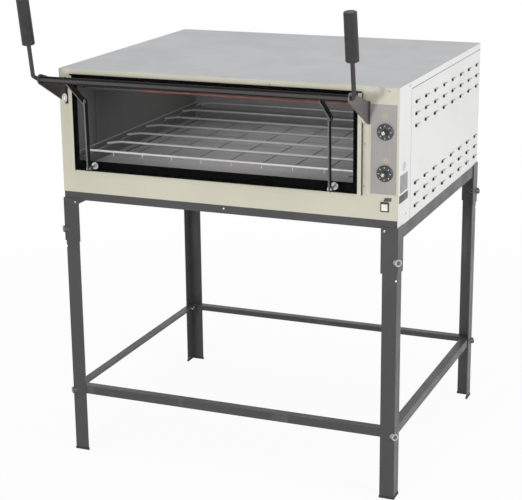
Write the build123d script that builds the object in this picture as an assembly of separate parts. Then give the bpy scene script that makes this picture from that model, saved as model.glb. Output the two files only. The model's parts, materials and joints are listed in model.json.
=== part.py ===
from build123d import *
import os
from math import acos, asin, ceil, cos, degrees, hypot, radians, sin, sqrt

# Gas deck oven on an angle-steel stand, with a glass door that two levers lift.
# Millimetres. +Z is up, -Y is the front, +X is the control side.
# The origin is on the floor, in the middle of the whole part's footprint.

# Cabinet
cabinet_width = 1200.0
cabinet_depth = 1010.0
cabinet_height = 450.5
cabinet_floor_z = 937.0
front_y = -390.0  # outer face of the front panel
sheet = 1.5
strip_depth = 130.0  # plain strip on each side, next to the front
strip_tongue = 12.0  # the strip's tongue behind the side cover
strip_tongue_hold = 4.5
top_lip = 22.5  # turned-down edge of the top sheet
seam = 0.4  # gap that shows between two sheets

# Baking chamber
chamber_left_gap = 56.5  # from the cabinet's left side to the chamber
control_bay = 133.5  # from the chamber to the cabinet's right side
chamber_back_gap = 38.0
ceiling_gap = 52.5
hearth_rise = 96.0  # from the cabinet's floor to the steel hearth plate's top
hearth_thickness = 2.0
tile_thickness = 12.0
front_slab_depth = 295.0  # plain slab from wall to wall, in front of the tiles
front_slab_gap = 1.0
hearth_strip = 25.0  # raised steel strip along each wall, beside the tiles
tile_pitch = 121.0
tile_joint = 2.5
tile_side_margin = 39.5  # between the tiles and the side walls
tile_back_margin = 6.0
tile_smallest = 8.0  # narrower offcuts are left out
insulation_clearance = 1.0
side_insulation = 30.0

# Rack inside the chamber
runner_height = 16.0  # the strip on the wall stands this far above its tongues
runner_tongue = 42.0
runner_tongue_width = 20.0
runner_sheet = 1.5
runner_rise = 55.0  # from the hearth plate to the tongues that the rack lies on
rack_side_radius = 3.5
rack_bar_radius = 4.0
rack_bars = 6
rack_front_gap = 30.0  # from the panel's face to the front bar
rack_back_gap = 6.0
rack_nibs = 8
rack_nib_inset = 125.0
rack_nib_radius = 1.6
rack_nib_length = 11.0
rack_side_inset = 24.0  # from a wall to the rack's side bar
rack_weld = 1.0  # how far crossing bars sink into each other
rack_bar_overhang = 5.0
rack_bar_drop = 8.0  # the cross bars' ends come down this far to the side bars
rack_bar_bend = 55.0  # from a cross bar's end to its bend
element_radius = 4.0
element_set_back = 60.0
element_drop = 18.0

# Burners and gas supply
burner_radius = 20.0
burner_wall = 1.5
burner_count = 3
burner_side_gap = 205.0
burner_rise = 48.0
burner_front_gap = 60.0
burner_back_gap = 50.0
rest_sheet = 2.0
rest_height = 40.0
rest_set_back = 150.0
manifold_radius = 9.0
manifold_set_back = 39.0
manifold_rise = 21.0
manifold_overhang = 40.0  # past the first burner
pipe_clearance = 1.0  # round a pipe where it passes through a sheet
jet_radius = 4.0
jet_length = 25.0
inlet_inset = 30.0  # from the cabinet's right side
inlet_radius = 10.5  # half-inch pipe thread
inlet_reach = 22.0  # how far the inlet stands out of the back
inlet_bore = 6.5
valve_width = 46.0
valve_height = 60.0
valve_depth = 55.0
valve_edge = 4.0
supply_radius = 5.0

# Flue
flue_width = 220.0
flue_height = 44.0
flue_drop = 45.0  # from the chamber's ceiling to the flue's middle
flue_sheet = 1.5
flue_reach = 18.0

# Vents
louvre_columns = 8
louvre_first = 181.0  # from the front face to the first column
louvre_tail_gap = 7.0  # from the last column to the back
upper_louvre_drops = (73.5, 112.5, 151.5)  # below the cabinet's top
lower_louvre_rises = (110.0, 72.0, 33.0)  # above the cabinet's floor
louvre_length = 52.0
louvre_radius = 6.5
louvre_tail_radius = 1.4
louvre_wall = 1.0
back_slot_length = 70.0
back_slot_height = 6.0
back_slot_pitch = 18.0
back_slot_rows = 5
back_slot_columns = 6
back_slot_spacing = 140.0
back_slot_rise = 63.0
air_slot_width = 14.0
air_slot_length = 260.0
air_slot_share = 0.25  # of the chamber's depth, either way from its middle

# Stand
leg_size = 50.0
leg_sheet = 3.0
sleeve_size = 58.0
sleeve_rise = 2.0
sleeve_length = 154.0
leg_overlap = 110.0  # how far a leg goes up into its sleeve
rail_sheet = 3.0
rail_height = 44.0
rail_flange = 30.0
front_lip_rise = 25.0
lower_rail_size = 30.0
lower_rail_top_z = 248.0
foot_height = 8.0
foot_wall = 1.5
foot_base = 2.0
bolt_radius = 4.0
bolt_hole_gap = 0.4
bolt_head_radius = 11.5
bolt_head_height = 5.0
nut_radius = 7.5
nut_height = 6.5
nut_clearance = 1.0
bolt_tail = 4.0
upper_bolt_rise = 41.0  # from the sleeve's lower end
spare_hole_drop = 22.0
lower_bolt_drop = 22.0
screw_head_radius = 4.0
screw_head_height = 2.2
screw_head_edge = 1.3
screw_radius = 2.0
sleeve_screw_inset = 43.0
sleeve_screw_drop = 11.0
lip_screw_rise = 14.0

# Door glass and its guides
glass_overlap = 12.5  # past the chamber's walls
glass_drop = 3.5  # below the top of the tiles
glass_top_gap = 16.0
glass_thickness = 5.0
glass_play = 0.5  # between the glass and its guides, all round
guide_width = 13.0
guide_web = 2.0
guide_lip = 2.0
guide_depth = 15.0
guide_top_gap = 20.5
guide_foot = 2.0
guide_ear = 23.0  # flat flange of the guide, riveted to the panel
guide_ear_sheet = 1.2
border_thickness = 0.2
border_bottom = 36.0
border_side = 27.0
border_top = 24.0
rivet_radius = 3.2
rivet_height = 1.2
rivet_edge = 0.9
rivet_inset = 6.5  # from the channel to the rivets on its flange
upper_rivet_rise = 162.5  # from the glass's lower edge
lower_rivet_rise = 26.5
panel_rivet_drop = 12.0
left_panel_rivet_inset = 432.0  # from the cabinet's right side
right_panel_rivet_inset = 32.5
strip_screw_inset = 19.5  # from the strip's rear edge
strip_screw_drop = 12.0
lower_strip_screw_inset = 46.0
lower_strip_screw_rise = 31.0

# Lifting gear
gear_shift = 2.5  # from the door's middle to the gear's
axis_reach = 173.0
axis_drop = 8.5
tube_radius = 11.0
lever_radius = 7.0
lever_fit = 0.1
bracket_gap = 11.0  # from the guides to the plates' inner faces, on average
bracket_sheet = 5.0
bracket_nose_radius = 17.0
bracket_drop = 38.0
bracket_height = 73.0
bracket_flange = 6.0
bracket_flange_sheet = 3.0
clamp_reach = 28.0  # from the panel's face to the middle of a plate's clamp bolt
clamp_rise = 24.0  # from the plate's lower edge
clamp_washer_radius = 16.5
clamp_washer_height = 3.0
clamp_washer_edge = 1.0
clamp_head_radius = 9.0
clamp_head_height = 4.5
clamp_head_edge = 2.5
tube_side_gap = 0.5
running_gap = 0.06
arm_inset = 101.0  # from the plates' inner faces to the links
arm_length = 141.0
arm_rest_angle = -38.0
strap_width = 20.0
strap_sheet = 5.0
strap_gap = 0.3
link_foot_reach = 56.0
link_foot_rise = 21.5
pin_head_radius = 5.5
pin_head_height = 2.5
fork_ear = 3.2  # thickness of the fork's ears beside the link's foot
fork_half_height = 6.3
fork_back = 7.0  # solid part behind the link's foot
fork_stud_radius = 4.0
fork_pin_radius = 3.2
fork_pin_head_radius = 4.5
fork_pin_head = 1.5
washer_radius = 12.5
washer_height = 2.5
washer_edge = 0.8
stud_nut_radius = 7.5
stud_nut_height = 6.0
stud_back_radius = 8.0
stud_back_height = 3.0
stud_fit = 0.1
stud_clearance = 0.5  # round the stud where it passes through the glass
lever_bend_radius = 9.0
lever_out = 6.0  # from the bracket to the lever's bend
lever_jog = (9.0, 16.0, 12.0)  # outwards, forwards and up
lever_lean = 9.3  # degrees forward from upright
lever_rise = 249.0
lever_inside = 40.0
lever_end_gap = 1.0
grip_length = 152.0
grip_bottom_radius = 21.0
grip_top_radius = 20.5
grip_edge = 3.0
grip_cover = 10.0  # solid end above the lever's tip
grip_fit = 0.1

# Controls
label_inset = 49.5  # from the cabinet's right side to the label's middle
label_width = 85.0
label_rise = 109.0
label_top_gap = 54.5  # from the cabinet's top
label_sheet = 0.8
knob_inset = 44.5
upper_knob_drop = 86.0  # from the label's top
lower_knob_rise = 68.0  # from the label's lower edge
knob_radius = 26.5
knob_skirt = 6.0
knob_skirt_chamfer = 3.0
knob_hub_radius = 10.5
knob_hub_top_radius = 8.5
knob_height = 24.0
knob_lift = 1.5  # gap between the knob and the label
knob_flutes = 14
flute_radius = 1.6
flute_set_out = 0.8
spindle_radius = 3.0
spindle_clearance = 1.0
spindle_cap_radius = 5.5
spindle_cap_height = 1.5
spindle_cap_edge = 1.0
spindle_end_gap = 1.0
valve_bore_depth = 16.0
switch_inset = 44.0
switch_rise = 68.0
switch_width = 28.0
switch_height = 32.0
switch_rim = 3.5
switch_bezel_height = 2.5
switch_body_depth = 24.0
rocker_gap = 0.6
rocker_tilt = 6.0
rocker_hollow_radius = 19.0
rocker_hollow = 1.5
rocker_depth = 7.0  # from the panel's face to the rocker's pivot
rocker_front = 1.5  # how far the rocker stands out of its bezel

over = 1.0  # how far a cut runs past the surface that it opens

# Places in the cabinet
half_width = cabinet_width / 2
back_y = front_y + cabinet_depth
cabinet_top_z = cabinet_floor_z + cabinet_height
chamber_left = -half_width + chamber_left_gap
chamber_right = half_width - control_bay
chamber_x = (chamber_left + chamber_right) / 2
chamber_half = (chamber_right - chamber_left) / 2
chamber_front_y = front_y + sheet
chamber_back_y = back_y - chamber_back_gap
chamber_top_z = cabinet_top_z - ceiling_gap
liner_bottom_z = cabinet_floor_z + sheet
hearth_z = cabinet_floor_z + hearth_rise
tile_top_z = hearth_z + tile_thickness
front_slab_back_y = front_y + front_slab_depth
runner_z = hearth_z + runner_rise
element_z = chamber_top_z - element_drop
burner_z = cabinet_floor_z + burner_rise
manifold_y = front_y + manifold_set_back
manifold_z = cabinet_floor_z + manifold_rise
inlet_x = half_width - inlet_inset
flue_z = chamber_top_z - flue_drop
back_slot_z = cabinet_floor_z + back_slot_rise
burner_pitch = 2 * (chamber_half - burner_side_gap) / (burner_count - 1)
rack_bar_pitch = (chamber_back_y - front_y - rack_front_gap - rack_back_gap) / rack_bars
rack_nib_pitch = 2 * (chamber_half - rack_nib_inset) / (rack_nibs - 1)
louvre_room = cabinet_depth - louvre_first - louvre_tail_gap - louvre_length
louvre_pitch = louvre_room / (louvre_columns - 1)
louvre_rows = [cabinet_top_z - drop for drop in upper_louvre_drops]
louvre_rows += [cabinet_floor_z + rise for rise in lower_louvre_rises]

# Places on the stand
stand_outer = half_width + leg_sheet
stand_front_y = front_y - leg_sheet
stand_back_y = back_y + leg_sheet
rail_top_z = cabinet_floor_z
front_lip_top_z = cabinet_floor_z + front_lip_rise
sleeve_top_z = cabinet_floor_z + sleeve_rise
sleeve_bottom_z = sleeve_top_z - sleeve_length
upper_bolt_z = sleeve_bottom_z + upper_bolt_rise
spare_hole_z = sleeve_bottom_z - spare_hole_drop
lower_bolt_z = lower_rail_top_z - lower_bolt_drop
sleeve_screw_z = cabinet_floor_z - sleeve_screw_drop
lip_screw_z = cabinet_floor_z + lip_screw_rise

# Places on the door
glass_half = chamber_half + glass_overlap
glass_bottom_z = tile_top_z - glass_drop
glass_top_z = cabinet_top_z - glass_top_gap
glass_front_y = front_y - guide_depth + guide_lip + glass_play
glass_back_y = glass_front_y + glass_thickness
guide_left_x = chamber_x - glass_half - glass_play - guide_web
guide_right_x = chamber_x + glass_half + glass_play + guide_web
guide_top_z = cabinet_top_z - guide_top_gap
guide_bottom_z = glass_bottom_z - glass_play - guide_foot

# Places in the lifting gear
gear_x = chamber_x + gear_shift
axis_y = front_y - axis_reach
axis_z = cabinet_top_z - axis_drop
bracket_reach = (guide_right_x - guide_left_x) / 2 + bracket_gap
bracket_seat_y = front_y - guide_ear_sheet
bracket_top_z = axis_z - bracket_drop
bracket_bottom_z = bracket_top_z - bracket_height
arm_offset = bracket_reach - arm_inset
arm_tip_y = axis_y + arm_length * cos(radians(arm_rest_angle))
arm_tip_z = axis_z + arm_length * sin(radians(arm_rest_angle))
link_foot_y = front_y - link_foot_reach
link_foot_z = glass_bottom_z + link_foot_rise
link_length = hypot(arm_tip_y - link_foot_y, arm_tip_z - link_foot_z)
open_angle = arm_rest_angle + 90
open_tip_y = axis_y + arm_length * cos(radians(open_angle))
open_tip_z = axis_z + arm_length * sin(radians(open_angle))
open_foot_z = open_tip_z - sqrt(link_length ** 2 - (open_tip_y - link_foot_y) ** 2)
door_travel = open_foot_z - link_foot_z
link_swing = degrees(asin((link_foot_y - open_tip_y) / link_length))
link_swing -= degrees(asin((link_foot_y - arm_tip_y) / link_length))

# Places of the controls
label_x = half_width - label_inset
label_bottom_z = cabinet_floor_z + label_rise
label_top_z = cabinet_top_z - label_top_gap
knob_x = half_width - knob_inset
upper_knob_z = label_top_z - upper_knob_drop
lower_knob_z = label_bottom_z + lower_knob_rise
switch_x = half_width - switch_inset
switch_z = cabinet_floor_z + switch_rise


def block(x0, x1, y0, y1, z0, z1):
    """A box between two corners, given in either order."""
    middle = Pos((x0 + x1) / 2, (y0 + y1) / 2, (z0 + z1) / 2)
    return middle * Box(abs(x1 - x0), abs(y1 - y0), abs(z1 - z0))


def bar_x(x0, x1, y, z, radius):
    return Pos((x0 + x1) / 2, y, z) * Rot(0, 90, 0) * Cylinder(radius, abs(x1 - x0))


def bar_y(y0, y1, x, z, radius):
    return Pos(x, (y0 + y1) / 2, z) * Rot(90, 0, 0) * Cylinder(radius, abs(y1 - y0))


def bar_z(z0, z1, x, y, radius):
    return Pos(x, y, (z0 + z1) / 2) * Cylinder(radius, abs(z1 - z0))


def strap(x0, x1, start, end, width):
    """A flat bar with round ends between two (y, z) points."""
    run = Vector(end[0] - start[0], end[1] - start[1])
    turn = degrees(acos(run.X / run.length))
    turn = turn if run.Y >= 0 else -turn
    middle = Pos((start[0] + end[0]) / 2, (start[1] + end[1]) / 2)
    shape = Plane.YZ.offset(x0) * middle * Rot(0, 0, turn) * SlotCenterToCenter(run.length, width)
    return extrude(shape, amount=x1 - x0)


def side_hull(x0, x1, edges):
    """A plate across X whose outline is the convex hull of edges drawn in (y, z)."""
    return extrude(Plane.YZ.offset(x0) * make_hull(edges), amount=x1 - x0)


def group(solids):
    return Compound(children=list(solids))


def corner_sign(side, end):
    """The horizontal direction out of a stand corner, at 45 degrees."""
    return Vector(side, end, 0).normalized()


def corner_angle(side, end, outer, front, back, size, z0, z1):
    """An upright angle section with its corner at the outside."""
    x_out, y_out = side * outer, (front if end < 0 else back)
    x_in, y_in = x_out - side * size, y_out - end * size
    x_wall, y_wall = x_out - side * leg_sheet, y_out - end * leg_sheet
    across = block(x_out, x_in, y_out, y_wall, z0, z1)
    along = block(x_out, x_wall, y_out, y_in, z0, z1)
    return across + along


def corner_bar(corner, out, z, radius, inward, outward):
    """A round bar along the diagonal of a corner."""
    centre = corner + out * ((outward - inward) / 2) + Vector(0, 0, z)
    return Plane(origin=centre, z_dir=out) * Cylinder(radius, inward + outward)


def stand_corner(side, end, shift):
    """The outside corner point of the stand, moved in by shift."""
    y_out = stand_front_y if end < 0 else stand_back_y
    return Vector(side * (stand_outer - shift), y_out - end * shift, 0)


corners = [(-1, -1), (1, -1), (-1, 1), (1, 1)]
corner_names = ["front_left", "front_right", "rear_left", "rear_right"]


# Stand
def make_sleeve(side, end):
    body = corner_angle(
        side, end, stand_outer, stand_front_y, stand_back_y, sleeve_size, sleeve_bottom_z, sleeve_top_z
    )
    corner, out = stand_corner(side, end, 0), corner_sign(side, end)
    hole_radius = bolt_radius + bolt_hole_gap
    body -= corner_bar(corner, out, upper_bolt_z, hole_radius, sleeve_size, bolt_head_radius)
    if end < 0:
        x = side * (half_width - sleeve_screw_inset)
        body -= bar_y(stand_front_y - over, front_y + over, x, sleeve_screw_z, screw_radius)
    return body


def make_leg(side, end):
    top_z = sleeve_bottom_z + leg_overlap
    body = corner_angle(side, end, half_width, front_y, back_y, leg_size, foot_base, top_z)
    corner, out = stand_corner(side, end, leg_sheet), corner_sign(side, end)
    for z in (upper_bolt_z, spare_hole_z, lower_bolt_z):
        body -= corner_bar(corner, out, z, bolt_radius + bolt_hole_gap, leg_size, bolt_head_radius)
    return body


def make_foot_caps():
    caps = []
    outer, front, back = half_width + foot_wall, front_y - foot_wall, back_y + foot_wall
    size, thick = leg_size + 2 * foot_wall, leg_sheet + 2 * foot_wall
    for side, end in corners:
        x_out, y_out = side * outer, (front if end < 0 else back)
        x_in, y_in = x_out - side * size, y_out - end * size
        cap = block(x_out, x_in, y_out, y_out - end * thick, 0, foot_height)
        cap += block(x_out, x_out - side * thick, y_out, y_in, 0, foot_height)
        leg_z = foot_height + over
        cap -= corner_angle(side, end, half_width, front_y, back_y, leg_size, foot_base, leg_z)
        caps.append(cap)
    return group(caps)


def corner_joints():
    """Each bolted corner: its outside point, direction and height."""
    for side, end in corners:
        yield stand_corner(side, end, 0), corner_sign(side, end), upper_bolt_z, 2 * leg_sheet
        yield stand_corner(side, end, leg_sheet), corner_sign(side, end), lower_bolt_z, leg_sheet


def make_leg_bolts():
    """Round-headed bolts whose heads sit astride the corner."""
    bolts = []
    reach = 4 * bolt_head_radius
    for corner, out, z, wall in corner_joints():
        shank_in = (wall + nut_radius) * sqrt(2) + nut_height + bolt_tail
        bolt = corner_bar(corner, out, z, bolt_head_radius, bolt_head_radius, bolt_head_height)
        side = 1 if out.X > 0 else -1
        end = 1 if out.Y > 0 else -1
        bolt -= block(
            corner.X, corner.X - side * reach, corner.Y, corner.Y - end * reach, z - reach, z + reach
        )
        bolt += corner_bar(corner, out, z, bolt_radius, shank_in, 0)
        bolts.append(bolt)
    return group(bolts)


def make_leg_nuts():
    nuts = []
    for corner, out, z, wall in corner_joints():
        inner = corner - out * (wall * sqrt(2) + nut_radius) + Vector(0, 0, z)
        nut = Plane(origin=inner, z_dir=-out) * extrude(RegularPolygon(nut_radius, 6), amount=nut_height)
        nut -= corner_bar(corner, out, z, bolt_radius, leg_size, 0)
        nuts.append(nut)
    return group(nuts)


def make_front_rail():
    inner = half_width - leg_sheet
    under_z = rail_top_z - rail_sheet
    flange = block(-inner, inner, front_y, front_y + rail_flange, under_z, rail_top_z)
    lip = block(-inner, inner, front_y, front_y + rail_sheet, under_z, front_lip_top_z)
    rail = flange + lip
    rail -= bar_y(front_y - over, front_y + rail_sheet + over, 0, lip_screw_z, screw_radius)
    return rail


def make_rear_rail():
    inner = half_width - leg_sheet
    flange = block(-inner, inner, back_y - rail_flange, back_y, rail_top_z - rail_sheet, rail_top_z)
    face = block(-inner, inner, back_y - rail_sheet, back_y, rail_top_z - rail_height, rail_top_z)
    return clear_of_legs(flange + face)


def make_side_rail(side):
    y0, y1 = front_y + rail_flange, back_y - rail_flange
    x_out = side * half_width
    x_face, x_flange = x_out - side * rail_sheet, x_out - side * rail_flange
    face = block(x_out, x_face, y0, y1, rail_top_z - rail_height, rail_top_z)
    flange = block(x_out, x_flange, y0, y1, rail_top_z - rail_sheet, rail_top_z)
    return clear_of_legs(face + flange)


def clear_of_legs(rail):
    """Cuts a rail back from the tops of the legs."""
    top_z = sleeve_bottom_z + leg_overlap
    for side, end in corners:
        rail -= corner_angle(side, end, half_width, front_y, back_y, leg_size, foot_base, top_z)
    return rail


def lower_angle(x0, x1, y0, y1, side, end):
    """A lower rail: an angle with its corner at the outer top edge."""
    top, bottom = lower_rail_top_z, lower_rail_top_z - lower_rail_size
    flange = block(x0, x1, y0, y1, top - rail_sheet, top)
    if end:
        face_y = y0 if end < 0 else y1 - rail_sheet
        return flange + block(x0, x1, face_y, face_y + rail_sheet, bottom, top)
    face_x = x0 if side < 0 else x1 - rail_sheet
    return flange + block(face_x, face_x + rail_sheet, y0, y1, bottom, top)


def relieve_bolts(rails):
    """Cuts room for the corner bolts and their nuts."""
    for corner, out, z, wall in corner_joints():
        if z == lower_bolt_z:
            room = corner_bar(corner, out, z, nut_radius + nut_clearance, leg_size, 0)
            rails = [rail - room for rail in rails]
    return rails


def make_lower_rails_across():
    x, y_front, y_back = half_width - leg_sheet, front_y + leg_sheet, back_y - leg_sheet
    front = lower_angle(-x, x, y_front, y_front + lower_rail_size, 0, -1)
    rear = lower_angle(-x, x, y_back - lower_rail_size, y_back, 0, 1)
    return group(relieve_bolts([front, rear]))


def make_lower_rails_along():
    x = half_width - leg_sheet
    y0 = front_y + leg_sheet + lower_rail_size
    y1 = back_y - leg_sheet - lower_rail_size
    left = lower_angle(-x, -x + lower_rail_size, y0, y1, -1, 0)
    right = lower_angle(x - lower_rail_size, x, y0, y1, 1, 0)
    return group(relieve_bolts([left, right]))


def pan_screw(x, y_face, z, length):
    """A small screw from the front, with its head on the face."""
    head = bar_y(y_face - screw_head_height, y_face, x, z, screw_head_radius)
    head = fillet(head.faces().sort_by(Axis.Y)[0].edges(), screw_head_edge)
    return head + bar_y(y_face, y_face + length, x, z, screw_radius)


def make_stand_screws():
    x = half_width - sleeve_screw_inset
    sleeve_screws = [pan_screw(side * x, stand_front_y, sleeve_screw_z, leg_sheet) for side in (-1, 1)]
    lip_screw = pan_screw(0, front_y, lip_screw_z, rail_sheet + sheet)
    return group(sleeve_screws + [lip_screw])


def burner_x(index):
    return chamber_x + (index - (burner_count - 1) / 2) * burner_pitch


# Cabinet shell
def make_base_pan():
    y0, y1 = front_y + rail_sheet, back_y - sheet
    pan = block(-half_width + sheet, half_width - sheet, y0, y1, cabinet_floor_z, cabinet_floor_z + sheet)
    y_mid = (chamber_front_y + chamber_back_y) / 2
    shift = air_slot_share * (chamber_back_y - chamber_front_y)
    for index in range(burner_count):
        x = burner_x(index)
        for y in (y_mid - shift, y_mid + shift):
            pan -= block(
                x - air_slot_width / 2, x + air_slot_width / 2, y - air_slot_length / 2,
                y + air_slot_length / 2, cabinet_floor_z - over, cabinet_floor_z + sheet + over,
            )
    return pan


def make_front_panel():
    """The panel, with a step at its foot that goes back behind the front rail's lip."""
    panel = block(-half_width, half_width, front_y, front_y + sheet, front_lip_top_z, cabinet_top_z)
    x, y_step = half_width - sheet, front_y + rail_sheet
    panel += block(-x, x, y_step, y_step + sheet, liner_bottom_z, front_lip_top_z + 2 * sheet)
    panel += block(-x, x, front_y, y_step + sheet, front_lip_top_z, front_lip_top_z + sheet)
    cut_y0, cut_y1 = front_y - over, y_step + sheet + over
    panel -= block(chamber_left, chamber_right, cut_y0, cut_y1, tile_top_z, chamber_top_z)
    for z in (upper_knob_z, lower_knob_z):
        panel -= bar_y(cut_y0, cut_y1, knob_x, z, spindle_radius + spindle_clearance)
    panel -= switch_cutout(cut_y0, cut_y1)
    panel -= bar_y(cut_y0, cut_y1, 0, lip_screw_z, screw_radius)
    return panel


def switch_cutout(y0, y1):
    half_x = switch_width / 2 - switch_rim / 2
    half_z = switch_height / 2 - switch_rim / 2
    return block(switch_x - half_x, switch_x + half_x, y0, y1, switch_z - half_z, switch_z + half_z)


def make_side_strip(side):
    """The plain strip beside the front, with a tongue behind the side cover."""
    x_out, x_in = side * half_width, side * (half_width - sheet)
    y1 = front_y + strip_depth
    strip = block(x_out, x_in, front_y + sheet, y1, cabinet_floor_z, cabinet_top_z)
    strip += block(
        x_in, x_in - side * sheet, y1 - strip_tongue_hold, y1 + strip_tongue,
        cabinet_floor_z + 2 * sheet, cabinet_top_z - top_lip,
    )
    return strip


def make_louvre_cover(side):
    """The side sheet, with rows of hollow half-cone louvres that open to the front."""
    x_out, x_in = side * half_width, side * (half_width - sheet)
    y0, y1 = front_y + strip_depth + seam, back_y
    z1 = cabinet_top_z - top_lip - seam
    cover = block(x_out, x_in, y0, y1, cabinet_floor_z, z1)
    outside = block(x_in, side * (half_width + 2 * louvre_radius), y0, y1, cabinet_floor_z, z1)
    shells, hollows = [], []
    for row_z in louvre_rows:
        for column in range(louvre_columns):
            y = front_y + louvre_first + column * louvre_pitch
            middle = Pos(x_out, y + louvre_length / 2, row_z) * Rot(-90, 0, 0)
            shells.append(middle * Cone(louvre_radius, louvre_tail_radius, louvre_length))
            inner = Cone(louvre_radius - louvre_wall, louvre_tail_radius - louvre_wall / 2, louvre_length)
            hollows.append(Pos(0, -louvre_wall, 0) * middle * inner)
    shells = [shell & outside for shell in shells]
    return (cover + shells) - hollows


def make_top_cover():
    """The top sheet, with an edge turned down at each side behind the strips."""
    under_z = cabinet_top_z - sheet
    top = block(-half_width, half_width, front_y + sheet, back_y, under_z, cabinet_top_z)
    lip_y0 = front_y + strip_depth + seam
    for side in (-1, 1):
        x_out, x_in = side * half_width, side * (half_width - sheet)
        top += block(x_out, x_in, lip_y0, back_y, cabinet_top_z - top_lip, cabinet_top_z)
        top -= block(x_out, x_in, front_y, lip_y0, under_z, cabinet_top_z)
    return top


def make_back_panel():
    x, y0, y1 = half_width - sheet, back_y - sheet, back_y
    panel = block(-x, x, y0, y1, cabinet_floor_z, cabinet_top_z - sheet)
    for row in range(back_slot_rows):
        z = back_slot_z + row * back_slot_pitch
        for column in range(back_slot_columns):
            slot_x = chamber_x + (column - (back_slot_columns - 1) / 2) * back_slot_spacing
            panel -= block(
                slot_x - back_slot_length / 2, slot_x + back_slot_length / 2, y0 - over, y1 + over,
                z - back_slot_height / 2, z + back_slot_height / 2,
            )
    panel -= flue_space(0, y0 - over, y1 + over)
    panel -= bar_y(y0 - over, y1 + over, inlet_x, manifold_z, manifold_radius)
    return panel


# Baking chamber
def make_liner_sides():
    y0, y1 = chamber_front_y + rail_sheet, chamber_back_y
    left = block(chamber_left - sheet, chamber_left, y0, y1, liner_bottom_z, chamber_top_z)
    right = block(chamber_right, chamber_right + sheet, y0, y1, liner_bottom_z, chamber_top_z)
    right -= manifold_hole(chamber_right - over, chamber_right + sheet + over)
    return group([left, right])


def manifold_hole(x0, x1):
    return bar_x(x0, x1, manifold_y, manifold_z, manifold_radius + pipe_clearance)


def make_liner_back():
    y0, y1 = chamber_back_y, chamber_back_y + sheet
    x0, x1 = chamber_left - sheet, chamber_right + sheet
    back = block(x0, x1, y0, y1, liner_bottom_z, chamber_top_z)
    return back - flue_space(0, y0 - over, y1 + over)


def make_liner_top():
    """The chamber's ceiling, from the front panel to the back wall."""
    x0, x1 = chamber_left - sheet, chamber_right + sheet
    y0, y1 = chamber_front_y, chamber_back_y + sheet
    return block(x0, x1, y0, y1, chamber_top_z, chamber_top_z + sheet)


def make_hearth_plate():
    """The steel plate under the tiles, folded down at both sides to stand on the base."""
    y0, y1 = chamber_front_y + rail_sheet, chamber_back_y
    left_in, right_in = chamber_left + hearth_thickness, chamber_right - hearth_thickness
    plate = block(chamber_left, chamber_right, y0, y1, hearth_z - hearth_thickness, hearth_z)
    plate += block(chamber_left, left_in, y0, y1, liner_bottom_z, hearth_z)
    plate += block(right_in, chamber_right, y0, y1, liner_bottom_z, hearth_z)
    strip_y = front_slab_back_y + tile_joint
    for wall_x, strip_x in (
        (chamber_left, chamber_left + hearth_strip),
        (chamber_right, chamber_right - hearth_strip),
    ):
        plate += block(wall_x, strip_x, strip_y, y1, hearth_z, tile_top_z)
    return plate - manifold_hole(right_in - over, chamber_right + over)


def tile_spans(start, end, joint):
    """The tiles' spans between two ends, with one joint at a given place and the end tiles cut."""
    first = joint - ceil((joint - start) / tile_pitch) * tile_pitch
    spans = []
    for index in range(ceil((end - first) / tile_pitch)):
        low = max(start, first + index * tile_pitch + tile_joint / 2)
        high = min(end, first + (index + 1) * tile_pitch - tile_joint / 2)
        if high - low > tile_smallest:
            spans.append((low, high))
    return spans


def make_hearth_tiles():
    """A plain slab in front, then square tiles set in the middle of the chamber."""
    slab_left, slab_right = chamber_left + front_slab_gap, chamber_right - front_slab_gap
    slab_y0 = chamber_front_y + rail_sheet + front_slab_gap
    tiles = [block(slab_left, slab_right, slab_y0, front_slab_back_y, hearth_z, tile_top_z)]
    x0, x1 = chamber_left + tile_side_margin, chamber_right - tile_side_margin
    y0, y1 = front_slab_back_y + tile_joint, chamber_back_y - tile_back_margin
    for tile_x0, tile_x1 in tile_spans(x0, x1, chamber_x + tile_pitch / 2):
        for tile_y0, tile_y1 in tile_spans(y0, y1, y0 - tile_joint / 2):
            tiles.append(block(tile_x0, tile_x1, tile_y0, tile_y1, hearth_z, tile_top_z))
    return group(tiles)


def rack_bar_y(index):
    return front_y + rack_front_gap + index * rack_bar_pitch


def make_rack_runners():
    """A strip on each wall, with three tongues under the rack's bars."""
    runners = []
    y0, y1 = front_y + rack_front_gap / 2, chamber_back_y
    under_z = runner_z - runner_sheet
    half = runner_tongue_width / 2
    for side, wall_x in ((-1, chamber_left), (1, chamber_right)):
        runner = block(wall_x, wall_x - side * runner_sheet, y0, y1, under_z, runner_z + runner_height)
        for index in (0, rack_bars // 2, rack_bars):
            y, tip_x = min(rack_bar_y(index), chamber_back_y - half), wall_x - side * runner_tongue
            runner += block(wall_x, tip_x, y - half, y + half, under_z, runner_z)
        runners.append(runner)
    return group(runners)


def bent_bar(x0, x1, y, end_z, middle_z):
    """A cross bar of the rack, with both ends bent down."""
    inner_x0, inner_x1 = x0 + rack_bar_bend, x1 - rack_bar_bend
    path = Polyline((x0, y, end_z), (inner_x0, y, middle_z), (inner_x1, y, middle_z), (x1, y, end_z))
    section = Plane(origin=path @ 0, z_dir=path % 0) * Circle(rack_bar_radius)
    return sweep(section, path=path, transition=Transition.ROUND)


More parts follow.
